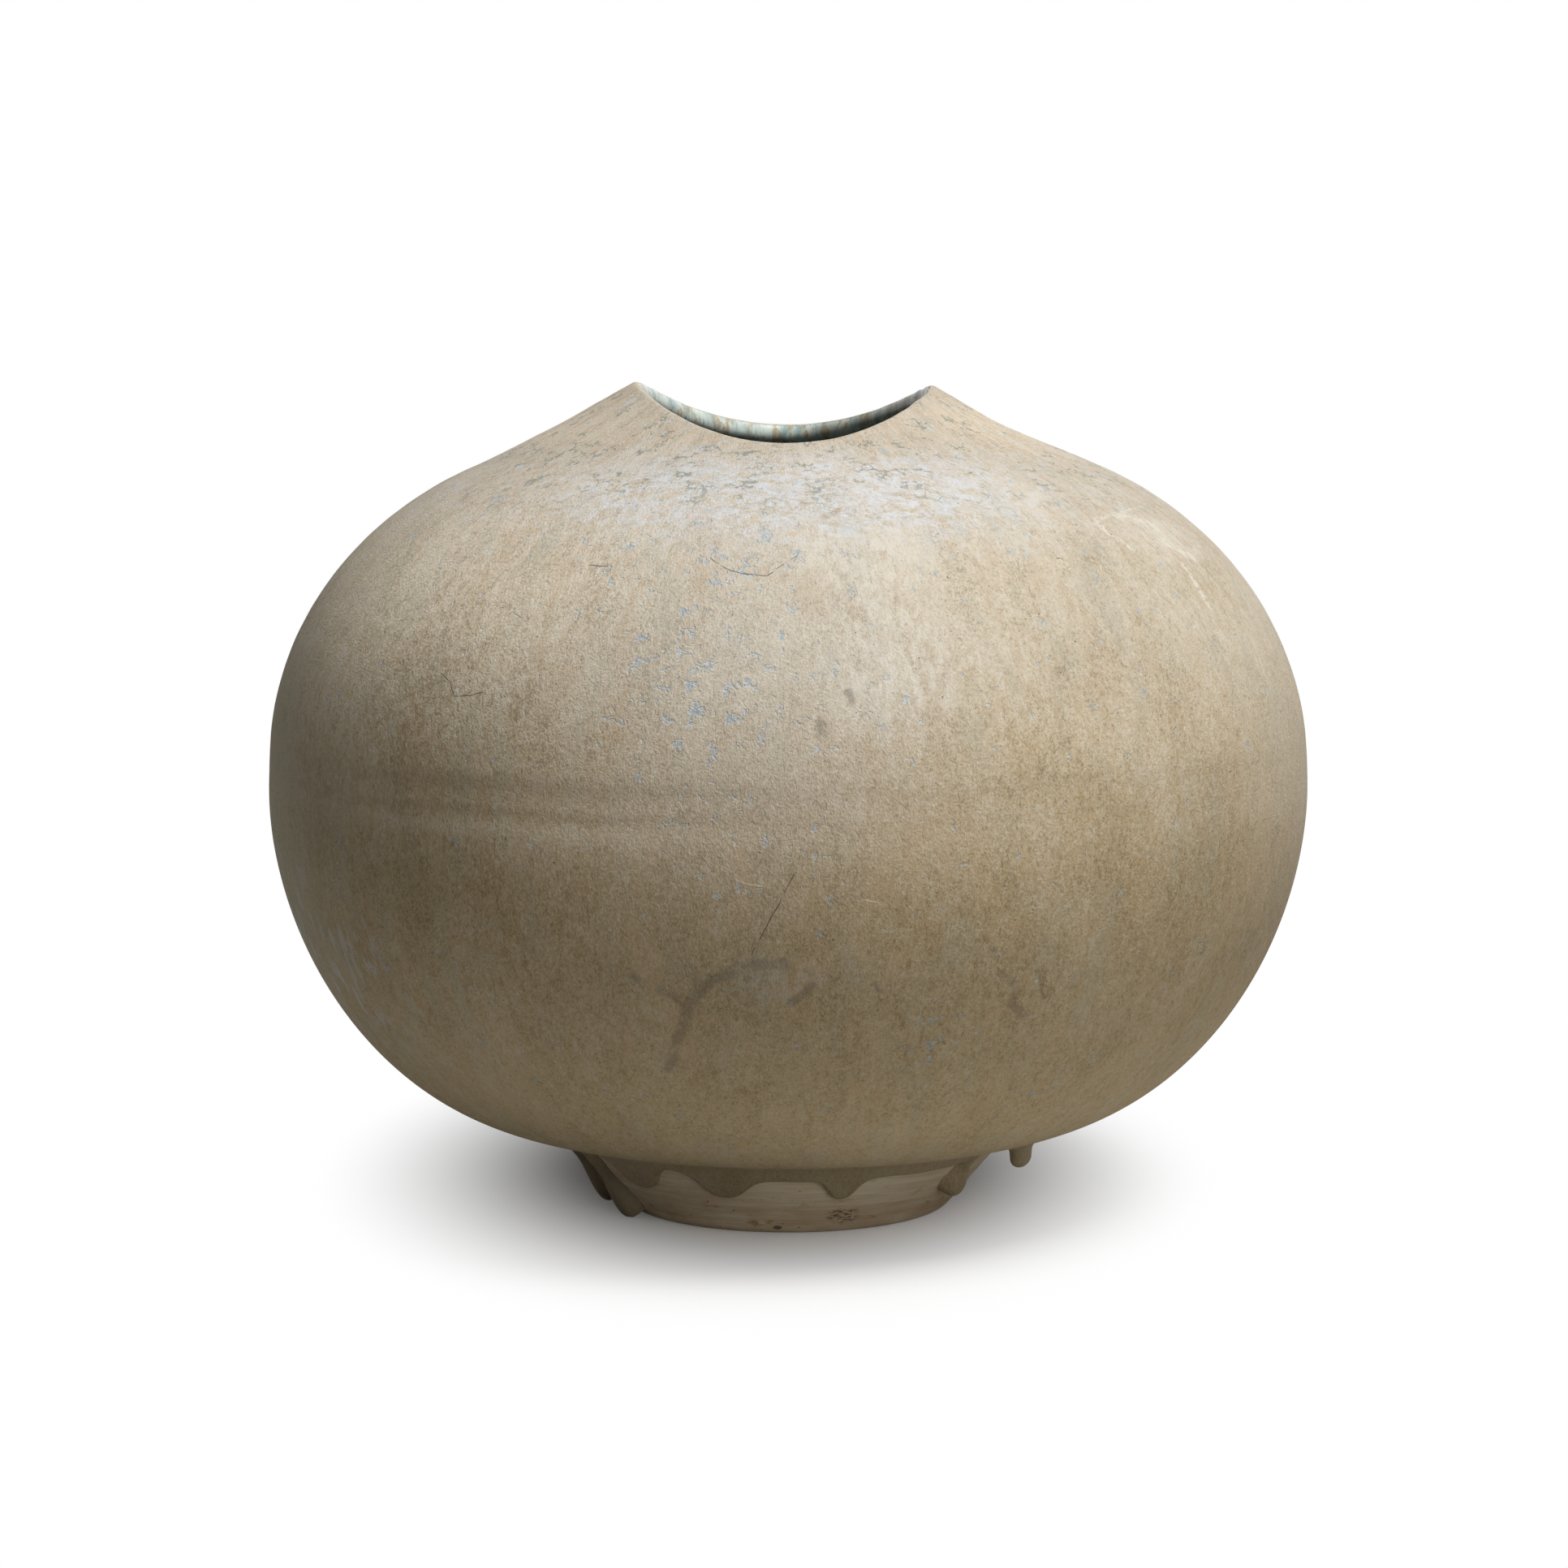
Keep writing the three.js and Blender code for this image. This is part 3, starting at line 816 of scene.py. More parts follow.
def tan_glaze(colours, outline):
    """Dry tan glaze: streaked down the belly, flecked on the shoulder, blue-green inside the lip."""
    material, shader, place = new_material("dry_tan_glaze")
    flow = running(place, outline, STREAK_SQUEEZE)
    short = running(place, outline, GRAIN_SQUEEZE)
    height = place.part("Z")
    long_streak = flow.moved(1, 0, 0).grain(320, 4, 0.65, 0.4)
    short_streak = short.moved(2, 1, 0).grain(260, 4, 0.65, 0.5)
    streak = long_streak * 0.4 + short_streak * 0.6
    fine = short.moved(0, 1, 0).grain(800, 3, 0.65, 0.5)
    fibre = short.moved(1, 1, 0).grain(1600, 2, 0.6, 0.3)
    shade = streaked_ground(place, flow, streak, fine, fibre, colours, outline)
    shade = shoulder_flecks(place, shade, colours, outline)
    shade = cream_patches(place, flow, shade, colours, outline)
    shade, pits = blue_pits(place, shade, colours, outline)
    shade = tints_and_painted_light(place, flow, shade, colours, outline)
    shade, scars = knocks(place, shade, colours, outline)
    # The thick glaze of the hem and the hanging drop, darkened partly as painted shade under the bowl
    low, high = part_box("hanging_glaze_drop")
    drop = place.near((low + high) / 2, (high - low) * 0.9, 0.3)
    hem = height.step(*HEM_DARK_AND_SHADED).most(drop)
    # Painted shade over the runs at the left of the foot, which lie in shadow
    runs = place.near(SHADED_RUNS_MIDDLE, SHADED_RUNS_SIZE, 0.6)
    shade = shade.tint(hem * 0.3 + drop * 0.35 + runs * 0.55, colours.hem)

    within = place.node("Attribute", {}, "Fac", attribute_name="inside")
    crossing = within + (flow.grain(300, 2) - 0.5) * within.step(0.0, 0.1) * 0.2
    inside = crossing.step(0.1, 0.24)
    shade = shade.tint(crossing.step(0.0, 0.08) * 0.5, colours.cream)
    shade = shade.tint(inside, lining_shade(place, colours, outline))
    plug(shader, "Base Color", shade)
    plug(shader, "Roughness", 0.66 + fine * 0.2 - inside * 0.52 - hem * 0.15)
    shader.inputs["Specular IOR Level"].default_value = DRY_SHINE
    relief = (fine * 0.9 + fibre * 0.6 + place.grain(1100, 2, 0.6) * 0.6) * (1 - inside * 0.85)
    emboss(shader, relief - pits * 0.7 - scars * 1.2, 0.8, 0.55 * MM)
    return material


def streaked_ground(place, flow, streak, fine, fibre, colours, outline):
    """The ground colour by height, broken into bands, streaks and grain, with soft rings at the belly that
    are partly painted shade and painted light.
    """
    height = place.part("Z")
    stops = ((0.18, colours.base), (0.36, colours.olive), (0.46, colours.olive), (0.62, colours.tan),
             (0.75, colours.pale), (0.95, colours.shoulder))
    ground = height.node("ValToRGB", {0: height / GROUND_TOP}, stops=stops)
    band = flow.grain(55, 2) + place.grain(24, 2)
    rough = 0.5 + spot(place, outline, ROUGH_SIDE, 0.8)
    tone = 0.5 + (band - 1) * 0.5 + (streak - 0.5) * 1.3 + (fine - 0.5) * 1.5 + (fibre - 0.5) * 1.3
    tone = tone + (place.moved(3, 3, 0).grain(330, 3, 0.65, 0.6) - 0.5) * rough
    light = ground.tint(0.24 + height.step(*LIGHT_RISE) * 0.36, colours.cream)
    shade = tone.step(0.0, 0.55).mix(ground.darkened(colours.grain), ground)
    shade = shade.tint(tone.step(0.45, 1.0), light)
    hue = flow.moved(0, 0, 2).grain(75, 2)
    shade = shade.tint(hue.step(0.5, 0.75) * 0.3, colours.rust)
    shade = shade.tint(hue.step(0.5, 0.25) * 0.25, colours.slate)
    thread = flow.moved(0, 3, 0).grain(240, 3, 0.6, 0.4)
    shade = shade.tint(thread.step(0.5, 0.68) * 0.28, colours.rust)
    shade = shade.tint(thread.step(0.48, 0.3) * 0.2, colours.tan)
    # Brown rings over the seam, partly painted shade of the hollow there, and a pale ring of painted light
    # below it
    wavy = height + (place.grain(18, 1) - 0.5) * RING_WAVER
    beside = 0.2 + 0.8 * spot(place, outline, STRONG_RING_SHADE, 0.9)
    rings = largest([wavy.band(*ring) for ring in BROWN_RINGS_AND_SHADE])
    shade = shade.tint(rings * beside * 0.4, colours.brown)
    return shade.tint(wavy.band(*PAINTED_LIT_RING) * beside * 0.3, colours.pale)


def shoulder_flecks(place, shade, colours, outline):
    """Peach mottling, the frosted band, and thin grey-green worms towards the lip."""
    height = place.part("Z")
    low_relief = place.stretched(1, 1, 0.5)
    peach = low_relief.grain(190, 4, 0.65, 0.6).step(0.5, 0.68)
    shade = shade.tint(peach * height.step(*PEACH_RISE) * 0.4, colours.peach)
    band = height.step(*FROST_RISE) * height.step(*FROST_FALL)
    frost = band * (0.22 + 0.78 * spot(place, outline, FROSTED_FRONT, 0.8))
    sweep = place.stretched(0.65, 1, 1)
    shade = shade.tint(sweep.grain(190, 5, 0.72, 0.9).step(0.38, 0.68) * frost * 0.78, colours.frost)
    flecks = sweep.moved(4, 0, 0).grain(420, 4, 0.72, 1.2).step(0.49, 0.6)
    shade = shade.tint(flecks * frost * 0.62, colours.frost)
    cool = low_relief.moved(0, 4, 0).grain(240, 3, 0.65, 1.2).step(0.58, 0.64)
    cool = cool * patches(place, 12 * MM, 3, 0.5)
    shade = shade.tint(cool * height.step(*MIST_RISE) * 0.6, colours.mist)
    worms = squiggle(place, 5 * MM, 8).step(0.5 * MM, 0.18 * MM) * patches(place, 9 * MM, 6, 0.45)
    worms = worms * patches(place, 4 * MM, 2, 0.75)
    return shade.tint(worms * height.step(*WORM_RISE) * 0.75, colours.moss)


def cream_patches(place, flow, shade, colours, outline):
    """Three pale patches where thicker glaze lies, broken into fine threads that ran down."""
    ragged = (place.stretched(1, 1, 0.5).grain(45, 4, 0.6) - 0.5) * 1.2
    drips = (flow.moved(3, 0, 0).grain(150, 3, 0.6) - 0.5) * 1.6
    found = []
    for mark, edge in ((UPPER_CREAM, ragged), (LOWER_CREAM, drips), (RIGHT_CREAM, ragged)):
        close = spot(place, outline, mark, 0.9)
        found.append((close + edge).step(0.2, 0.9) * close.step(0.0, 0.4))
    threads = flow.moved(6, 0, 0).grain(280, 4, 0.68, 0.6).step(0.42, 0.58)
    return shade.tint(largest(found) * (0.12 + threads * 0.45), colours.cream)


def blue_pits(place, shade, colours, outline):
    """Blue crawl marks, thick on the left of the front and few elsewhere, with the mask of their pits."""
    crowd = largest([spot(place, outline, mark, 0.9) * strength for mark, strength in PIT_CROWDS])
    line = squiggle(place, 3.6 * MM, 11)
    blot = place.moved(7, 7, 0).grain(170, 3, 0.6) + crowd * 0.1
    pit = line.step(0.6 * MM, 0.3 * MM) * blot.step(0.65, 0.68)
    core = line.step(0.28 * MM, 0.1 * MM) * blot.step(0.68, 0.73)
    shade = shade.tint(pit * (0.3 + place.part("Z").step(*PIT_RISE) * 0.45), colours.mist)
    return shade.tint(core * 0.7, colours.blue), pit


def tints_and_painted_light(place, flow, shade, colours, outline):
    """Broad tints and painted light: grey-green on the left, painted light on the shoulders, painted
    reflected light on the right, painted shade in dim spots, pale streaks low down.
    """
    shade = shade.tint(spot(place, outline, SLATE_SIDE, 0.9) * 0.45, colours.slate)
    # Painted reflected light: the right side tinted paler with cream
    shade = shade.tint(spot(place, outline, PAINTED_RIM_LIGHT, 0.95) * 0.3, colours.cream)
    # Painted light and shade: soft spots made brighter or darker
    for mark, change in PAINTED_LIGHT_AND_SHADE:
        shade = shade.scaled(1 + spot(place, outline, mark, 0.95) * change)
    shade = shade.tint(spot(place, outline, COOL_FRONT, 0.95) * 0.15, colours.frost)
    streaks = flow.moved(5, 0, 0).grain(180, 3, 0.65).step(0.5, 0.65)
    return shade.tint(streaks * spot(place, outline, LOW_STREAKS, 0.8) * 0.4, colours.mist)


def knocks(place, shade, colours, outline):
    """Cracks, scratches, scuffs, smudges, dust, salt and pinholes, with the mask of those that are cut in."""
    crooked = place.shaken(3 * MM, 0.35 * MM)
    crack = strokes(crooked, outline, CRACKS, 0.5)
    scratch = strokes(crooked, outline, SCRATCHES, 0.5)
    scuff = strokes(place.shaken(5 * MM, 2 * MM), outline, SCUFFS, 0.8)
    scuff = scuff * place.moved(0, 0, 4).grain(420, 4, 0.65, 0.8).step(0.44, 0.54)
    smudge = strokes(place.shaken(6 * MM, 1.2 * MM), outline, SMUDGES, 0.75)
    smudge = smudge * place.grain(160, 4, 0.65).step(0.28, 0.56)
    dust = spot(place, outline, DUST, 0.8) * place.grain(220, 4, 0.65).step(0.4, 0.6)
    pinholes = specks(place, 8 * MM, 0.42 * MM, 0.45, 4).most(specks(place, 4 * MM, 0.26 * MM, 0.4, 9))
    salt = specks(place, 3.5 * MM, 0.4 * MM, 0.35, 6) * place.part("Z").step(*SALT_RISE)
    shade = shade.tint(dust * 0.12, colours.mist)
    shade = shade.tint(salt * 0.2, colours.cream)
    shade = shade.tint(smudge * 0.42, colours.smoke)
    shade = shade.tint(pinholes * 0.65, colours.smoke)
    shade = shade.tint(scratch * 0.6 + scuff * 0.85, colours.cream)
    return shade.tint(crack * 0.75, colours.smoke), crack.most(pinholes)


def blue_green_glaze(colours, outline):
    """Glossy blue-green glaze of the inside, darkened lower down by painted shade."""
    material, shader, place = new_material("glossy_blue_green_glaze")
    flow = place.stretched(1, 1, GLOSS_SQUEEZE)
    # Painted shade that darkens the lining lower down in the pot
    depth = place.part("Z").step(*DEEP_SHADE_FALL)
    shade = lining_shade(place, colours, outline).tint(depth * 0.5, colours.lining_deep)
    plug(shader, "Base Color", shade)
    plug(shader, "Roughness", 0.14 + flow.grain(200, 3) * 0.16)
    emboss(shader, flow.grain(150, 2), 0.2, 0.6 * MM)
    return material


def bare_clay(colours, outline):
    """Unglazed clay with throwing lines, iron specks, rust blotches and a few marks near the floor, and
    painted shade towards +X.
    """
    material, shader, place = new_material("thrown_clay")
    lines = place.stretched(0.05, 0.05, 1).grain(900, 5, 0.7)
    broad = place.stretched(0.08, 0.08, 1).grain(260, 3, 0.6)
    low = place.part("Z").step(*BURNT_FALL)
    bloom = low * place.stretched(1, 1, 2).grain(38, 3).step(0.38, 0.62)
    rust = place.stretched(1, 1, 2.2).grain(130, 4, 0.65).step(0.6, 0.7)
    shade = (lines * 0.6 + broad * 0.4).step(0.4, 0.6).mix(colours.clay, colours.clay_pale)
    shade = shade.tint(bloom * 0.45, colours.clay_burnt)
    shade = shade.tint(rust * (0.35 + low * 0.5), colours.clay_burnt)
    # Painted shade: the clay dims towards +X, on the right of the foot
    shade = shade.scaled(1 - place.part("X").step(*FOOT_SHADE_SIDE) * 0.12)
    middle, chip, *ends = marks_at(outline, FOOT_DASHES, FOOT_CHIP, *FOOT_SCRATCH, depth=outline.coat)
    dashes = place.stretched(0.6, 0.6, 1.5).grain(800, 3, 0.7).step(0.5, 0.57)
    dashes = dashes * place.shaken(4 * MM, 2 * MM).near(middle, FOOT_DASHES_SIZE, 0.6)
    dashes = dashes.most(place.shaken(2 * MM, 0.8 * MM).near(chip, FOOT_CHIP_SIZE, 0.3))
    iron = specks(place, 5 * MM, 0.45 * MM, 0.45, 3).most(dashes)
    shade = shade.tint(iron * 0.85, colours.smoke)
    scratch = place.shaken(3 * MM, 0.6 * MM).stroke(ends, FOOT_SCRATCH_WIDTH, 0.5)
    shade = shade.tint(scratch * 0.6, colours.clay_pale)
    plug(shader, "Base Color", shade)
    plug(shader, "Roughness", 0.8 + lines * 0.12)
    shader.inputs["Specular IOR Level"].default_value = DRY_SHINE
    emboss(shader, lines + place.grain(1300, 2) * 0.5 - iron, 0.35, 0.3 * MM)
    return material


def luting_slip(colours):
    """Rough dried slip in the seams."""
    material, shader, place = new_material("dried_slip")
    shade = place.grain(300, 4, 0.6).step(0.35, 0.65).mix(colours.slip, colours.clay)
    plug(shader, "Base Color", shade)
    plug(shader, "Roughness", 0.85 + place.grain(500) * 0.1)
    emboss(shader, place.grain(700, 3), 0.4, 0.5 * MM)
    return material


def surface(name):
    """A finish of the pot, made when it is first asked for."""
    made = bpy.data.materials.get(name)
    if made:
        return made
    colours = bpy.context.scene.pot_colours
    if name == "dried_slip":
        return luting_slip(colours)
    makers = {
        "dry_tan_glaze": tan_glaze,
        "glossy_blue_green_glaze": blue_green_glaze,
        "thrown_clay": bare_clay,
    }
    return makers[name](colours, Outline(bpy.context.scene.pot_shape))


# Pieces

class POT_OT_upper_coat(bpy.types.Operator):
    """Models the outer glaze from the belly seam up and over the rolled lip"""

    bl_idname = "pot.upper_coat"
    bl_label = "Upper Coat"

    # Rows of the section over each side of the roll, back down the lining, and behind the coat
    OUTER_ROLL_ROWS = 7
    INNER_ROLL_ROWS = 9
    RETURN_ROWS = 5
    BACK_ROWS = 24

    # Height of the lumps along the lip, what the right side has more, and the depth of the throwing lines
    LUMP = 0.2 * MM
    RIGHT_LUMP = 0.3 * MM
    LINE_DEPTH = 0.1 * MM

    def execute(self, context):
        shape = context.scene.pot_shape
        outline = Outline(shape)
        lip_depth = float(wall_depth(shape, outline, outline.peak))
        pull, offset, depth, back = (np.array(column) for column in zip(*self.section_rows(lip_depth)))
        start = outline.belly
        roll_at_peak = outline.peak + ROLL_LIFT - ROLL_OUTER
        section = np.column_stack(outline.at(start + pull * (roll_at_peak - start) + offset, depth))
        piece = spun("upper_coat", section, UPPER_COLUMNS, closed=True)
        row, angle = rows_and_angles(piece)
        roll = outline.lip(angle) + ROLL_LIFT - ROLL_OUTER + self.lip_lumps(angle)
        course = start + pull[row] * (roll - start) + offset[row]
        sunk = self.relief(shape, outline, angle, course) * ~back[row]
        radius, height = outline.at(course, depth[row] + sunk)
        set_places(piece, *leaned(shape, *around_axis(radius, angle, height)))
        polar_map(piece, section, row, angle, back)
        inside = piece.data.attributes.new("inside", "FLOAT", "POINT")
        inside.data.foreach_set("value", np.clip(depth[row] / lip_depth, 0, 1))
        finish_piece(piece, surface("dry_tan_glaze"), "tan_glaze", "outer_glaze", "lip_glaze")
        return {"FINISHED"}

    def section_rows(self, lip_depth):
        """Rows of the section: how far each follows the lip, its offset and depth, and if it is behind."""
        quarter = math.pi / 2
        inner = ROLL_OUTER - ROLL_INNER
        rows = [(share, 0, 0, False) for share in np.linspace(0, 1, UPPER_ROWS)]
        for turn in np.linspace(0, quarter, self.OUTER_ROLL_ROWS)[1:]:
            rows.append((1, ROLL_OUTER * math.sin(turn), ROLL_OUTER * (1 - math.cos(turn)), False))
        for turn in np.linspace(0, quarter, self.INNER_ROLL_ROWS)[1:]:
            depth = ROLL_OUTER + (lip_depth - ROLL_OUTER) * math.sin(turn)
            rows.append((1, ROLL_OUTER - ROLL_INNER * (1 - math.cos(turn)), depth, False))
        for down in np.linspace(0, LIP_RETURN, self.RETURN_ROWS)[1:]:
            rows.append((1, inner - down, lip_depth, False))
        rows.append((1, inner - LIP_RETURN, lip_depth - COAT_SKIN / 2, True))
        rows.append((1, inner, lip_depth - COAT_SKIN / 2, True))
        rows.append((1, ROLL_OUTER - COAT_SKIN, (lip_depth + ROLL_OUTER) / 2, True))
        rows.append((1, ROLL_OUTER - COAT_SKIN, ROLL_OUTER, True))
        rows.append((1, 0, COAT_SKIN, True))
        rows.extend((share, 0, COAT_SKIN, True) for share in np.linspace(1, 0, self.BACK_ROWS)[1:])
        return rows

    def lip_lumps(self, angle):
        """Small lumps of glaze along the lip, larger on the right."""
        size = self.LUMP + self.RIGHT_LUMP * smooth(-0.3, 0.9, np.cos(angle))
        return size * roughen(angle, np.zeros_like(angle), *LIP_NOISE)

    def relief(self, shape, outline, angle, course):
        """Depth of the belly hollow, and of the lines and the unevenness, which fade out at the seam."""
        uneven = self.LINE_DEPTH * roughen(angle, course, *THROWING_NOISE) + unevenness(angle, course)
        fade = smooth(outline.belly, outline.belly + UNEVEN_FADE, course)
        return belly_hollow(shape, angle, outline.at(course)[1]) + uneven * fade


class POT_OT_lower_coat(bpy.types.Operator):
    """Models the outer glaze from the belly seam down to its hem on the foot, with the runs"""

    bl_idname = "pot.lower_coat"
    bl_label = "Lower Coat"

    # Ends of the part that the hem shapes: a distance up the bowl, and a height on the foot
    HEM_REACH = 10 * MM
    LOWEST = 2.5 * MM

    # Rows of the section round the crease, down the foot, and behind the bowl
    CREASE_ROWS = 20
    FOOT_ROWS = 34
    BEHIND_ROWS = 14

    # Hem between the runs: heights in mm by angle from +X in degrees, their blending, its radius and waver
    HEM = ((-175, 29), (-143, 29), (-121, 26.4), (-92, 24), (-56, 24.4), (-20, 29), (8, 26), (38, 28),
           (72, 25), (103, 28.5), (131, 26), (160, 28.5))
    HEM_BLEND = math.radians(15)
    HEM_RADIUS = 82 * MM
    HEM_WAVER = 0.35 * MM

    # Turn to each side over which the hem's slant is measured
    NUDGE = 0.004

    # Edge of the hem: its rounding, how far it stands proud where it hangs low, and its tuck into the clay
    EDGE = 2.2 * MM
    PROUD = 0.8 * MM
    PROUD_REACH = 9 * MM
    LOW_HEM = 27 * MM
    LOW_HEM_FADE = (-0.1 * MM, 0.6 * MM)
    TUCK = 0.6 * MM
    FLOOR_GAP = 0.3 * MM

    # Runs: the tip under which one is long, the height of its bead, and its flare at the hem
    LONG_TIP = 12.6 * MM
    BEAD_HEIGHT = 8 * MM
    FLARE = 5 * MM

    # Width of a long run in beads: its tongue, its swelling end, and what the bulb of a low one changes
    TONGUE = 0.62
    SWELL = 0.42
    SWELL_SHARES = (0.5, 0.95)
    BULB = 0.25
    BULB_TIPS = (10 * MM, 3 * MM)
    BULB_THINS = 0.4
    BULB_SWELLS = 1.2

    # How far a long run stands off the foot, and what its end adds
    STAND = 1.6 * MM
    TIP_STAND = 3.4 * MM
    STAND_SHARES = (0.4, 1)

    # Scallops of the short runs: their width in beads, and the one at the right of the foot that hangs less
    SCALLOP = 1.2
    SHY_RUN = math.radians(-9)
    SHY_SPREAD = math.radians(10)
    SHY_SHARE = 0.65

    def execute(self, context):
        shape = context.scene.pot_shape
        outline = Outline(shape)
        foot_end = float(outline.course_at_height(self.LOWEST))
        hem_top = outline.bowl_start + self.HEM_REACH
        bowl = np.linspace(outline.belly, hem_top, LOWER_ROWS)
        crease = np.linspace(hem_top, outline.crease_low, self.CREASE_ROWS)[1:]
        foot = np.linspace(outline.crease_low, foot_end, self.FOOT_ROWS)[1:]
        behind_foot = np.array((foot_end, outline.crease_low))
        behind_bowl = np.linspace(outline.bowl_start, outline.belly, self.BEHIND_ROWS)
        course = np.concatenate((bowl, crease, foot, behind_foot, behind_bowl))
        seen = len(bowl) + len(crease) + len(foot)
        back = np.arange(len(course)) >= seen
        depth = np.where(back, COAT_SKIN, 0)
        depth[seen:seen + len(behind_foot)] += shape.coat
        section = np.column_stack(outline.at(course, depth))
        piece = spun("lower_coat", section, LOWER_COLUMNS, closed=True)
        row, angle = rows_and_angles(piece)
        course = course[row]
        sunk = unevenness(angle, course)
        sunk *= smooth(outline.belly, outline.belly - UNEVEN_FADE, course)
        sunk *= smooth(outline.bowl_start, outline.bowl_start + UNEVEN_FADE, course)
        sunk += belly_hollow(shape, angle, outline.at(course)[1])
        radius, height = outline.at(course, depth[row] + sunk * ~back[row])
        hem = ~back[row] & (course < hem_top)
        radius[hem], height[hem] = self.hem(shape, angle[hem], radius[hem], height[hem])
        set_places(piece, *around_axis(radius, angle, height))
        polar_map(piece, section, row, angle, back)
        finish_piece(piece, surface("dry_tan_glaze"), "tan_glaze", "outer_glaze", *self.run_nodes())
        return {"FINISHED"}

    def hem(self, shape, angle, radius, height):
        """Ends the coat in a rounded edge on the foot, and lets the runs hang from it."""
        flare = shape.foot_flare
        out = np.array((math.sin(flare), -math.cos(flare)))
        thick = (radius - shape.foot_radius - height / math.tan(flare)) * out[0]
        runs = [self.run_size(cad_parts[name]) for name in self.run_nodes()]
        line = self.hem_line(angle, runs)
        rise = self.hem_line(angle + self.NUDGE, runs) - self.hem_line(angle - self.NUDGE, runs)
        slant = rise / (2 * self.NUDGE) / self.HEM_RADIUS
        inside = (height - line) / out[0] / np.hypot(1, slant / out[0])
        proud = self.PROUD * smooth(line + self.PROUD_REACH, line, height)
        proud *= smooth(*self.LOW_HEM_FADE, self.LOW_HEM - line)
        for run in runs:
            if run[1] < self.LONG_TIP:
                away, stand = self.run_field(shape, run, angle, radius, height)
                blend = np.clip(0.5 + 0.5 * (inside - away) / self.FLARE, 0, 1)
                inside = away + (inside - away) * blend + self.FLARE * blend * (1 - blend)
                proud = np.maximum(proud, stand)
        edge = np.sqrt(1 - (1 - np.clip(inside / self.EDGE, 0, 1)) ** 2)
        tuck = self.TUCK * np.clip(-inside / self.TUCK, 0, 1)
        shift = thick * edge + proud * edge - tuck - thick
        return radius + out[0] * shift, np.maximum(height + out[1] * shift, self.FLOOR_GAP)

    def hem_line(self, angle, runs):
        """Height of the hem at an angle: arches between the runs, with a scallop at each short run."""
        total = np.zeros_like(angle)
        weights = np.zeros_like(angle)
        for middle, height in self.HEM:
            weight = np.exp(-(turned(angle - math.radians(middle)) / self.HEM_BLEND) ** 2)
            total += weight * height * MM
            weights += weight
        line = total / weights + self.HEM_WAVER * roughen(angle, np.zeros_like(angle), *HEM_NOISE)
        for middle, tip, bead in runs:
            if tip > self.LONG_TIP:
                sideways = turned(angle - middle) * self.HEM_RADIUS / (bead * self.SCALLOP)
                shy = math.exp(-(turned(middle - self.SHY_RUN) / self.SHY_SPREAD) ** 2)
                line = line - (line - tip) * (1 - self.SHY_SHARE * shy) * np.exp(-np.abs(sideways) ** 3)
        return line

    @staticmethod
    def run_nodes():
        """Names of the runs in the frame."""
        return sorted(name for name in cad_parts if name.startswith("glaze_run"))

    def run_size(self, node):
        """Angle, lowest point and bead radius of a run."""
        points = np.array([vertex.co for vertex in node.data.vertices])
        angle = math.atan2(points[:, 1].mean(), points[:, 0].mean())
        tip = points[:, 2].min()
        low = points[points[:, 2] < tip + self.BEAD_HEIGHT]
        sideways = low[:, 1] * math.cos(angle) - low[:, 0] * math.sin(angle)
        return angle, tip, np.ptp(sideways) / 2

    def run_field(self, shape, run, angle, radius, height):
        """Distance inside a long run's tongue, and how far it stands off; a low one ends in a bulb."""
        middle, tip, bead = run
        steep = math.sin(shape.foot_flare)
        sideways = turned(angle - middle) * radius
        down = (shape.foot_height - height) / steep
        length_down = (shape.foot_height - tip) / steep - bead
        share = np.clip(down / length_down, 0, 1)
        bulb = self.BULB * smooth(*self.BULB_TIPS, tip)
        swell = (self.SWELL + self.BULB_SWELLS * bulb) * smooth(*self.SWELL_SHARES, share)
        width = bead * (self.TONGUE - self.BULB_THINS * bulb + swell)
        away = np.hypot(sideways, down - share * length_down)
        stand = self.STAND + self.TIP_STAND * smooth(*self.STAND_SHARES, share)
        return width - away, stand * np.sqrt(np.clip(1 - (away / width) ** 2, 0, 1))


class POT_OT_hanging_drop(bpy.types.Operator):
    """Models the drop of glaze that hangs free under the bowl"""

    bl_idname = "pot.hanging_drop"
    bl_label = "Hanging Drop"

    # The drop ends this far over the CAD drop's tip, measured at a distance up the bowl, and sits further in
    UP_BOWL = 20 * MM
    SHORTER = 4.6 * MM
    INWARD = 1.5 * MM

    # Rows of the round tip, and the neck above it: widths in drop radii, and depths in necks
    TIP_ROWS = 9
    NECK_WIDTHS = (1.02, 1.04, 1.08, 1.15, 1.28, 1.5, 1.8)
    NECK_DEPTHS = (0.8, 0.55, 0.33, 0.16, 0.06, 0.015, -0.06)

    def execute(self, context):
        outline = Outline(context.scene.pot_shape)
        low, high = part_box("hanging_glaze_drop")
        half = (high.x - low.x) / 2
        centre = (low + high) / 2
        bowl_height = float(outline.at(outline.bowl_start + self.UP_BOWL)[1])
        neck = bowl_height - low.z - self.SHORTER - half
        turns = np.linspace(0, math.pi / 2, self.TIP_ROWS)
        wide = half * np.concatenate((np.sin(turns), self.NECK_WIDTHS))
        deep = np.concatenate((neck + half * np.cos(turns), neck * np.array(self.NECK_DEPTHS)))
        piece = spun("hanging_drop", np.column_stack((wide, -deep)), DROP_COLUMNS, closed=False)
        row, angle = rows_and_angles(piece)
        x = centre.x - self.INWARD + wide[row] * np.cos(angle)
        y = centre.y + wide[row] * np.sin(angle)
        bowl = outline.course > outline.bowl_start
        bowl_radii = outline.radius[bowl][:CURVE_STEPS]
        bowl_heights = outline.height[bowl][:CURVE_STEPS]
        set_places(piece, x, y, np.interp(np.hypot(x, y), bowl_radii, bowl_heights) - deep[row])
        finish_piece(piece, surface("dry_tan_glaze"), "tan_glaze", "hanging_glaze_drop")
        return {"FINISHED"}


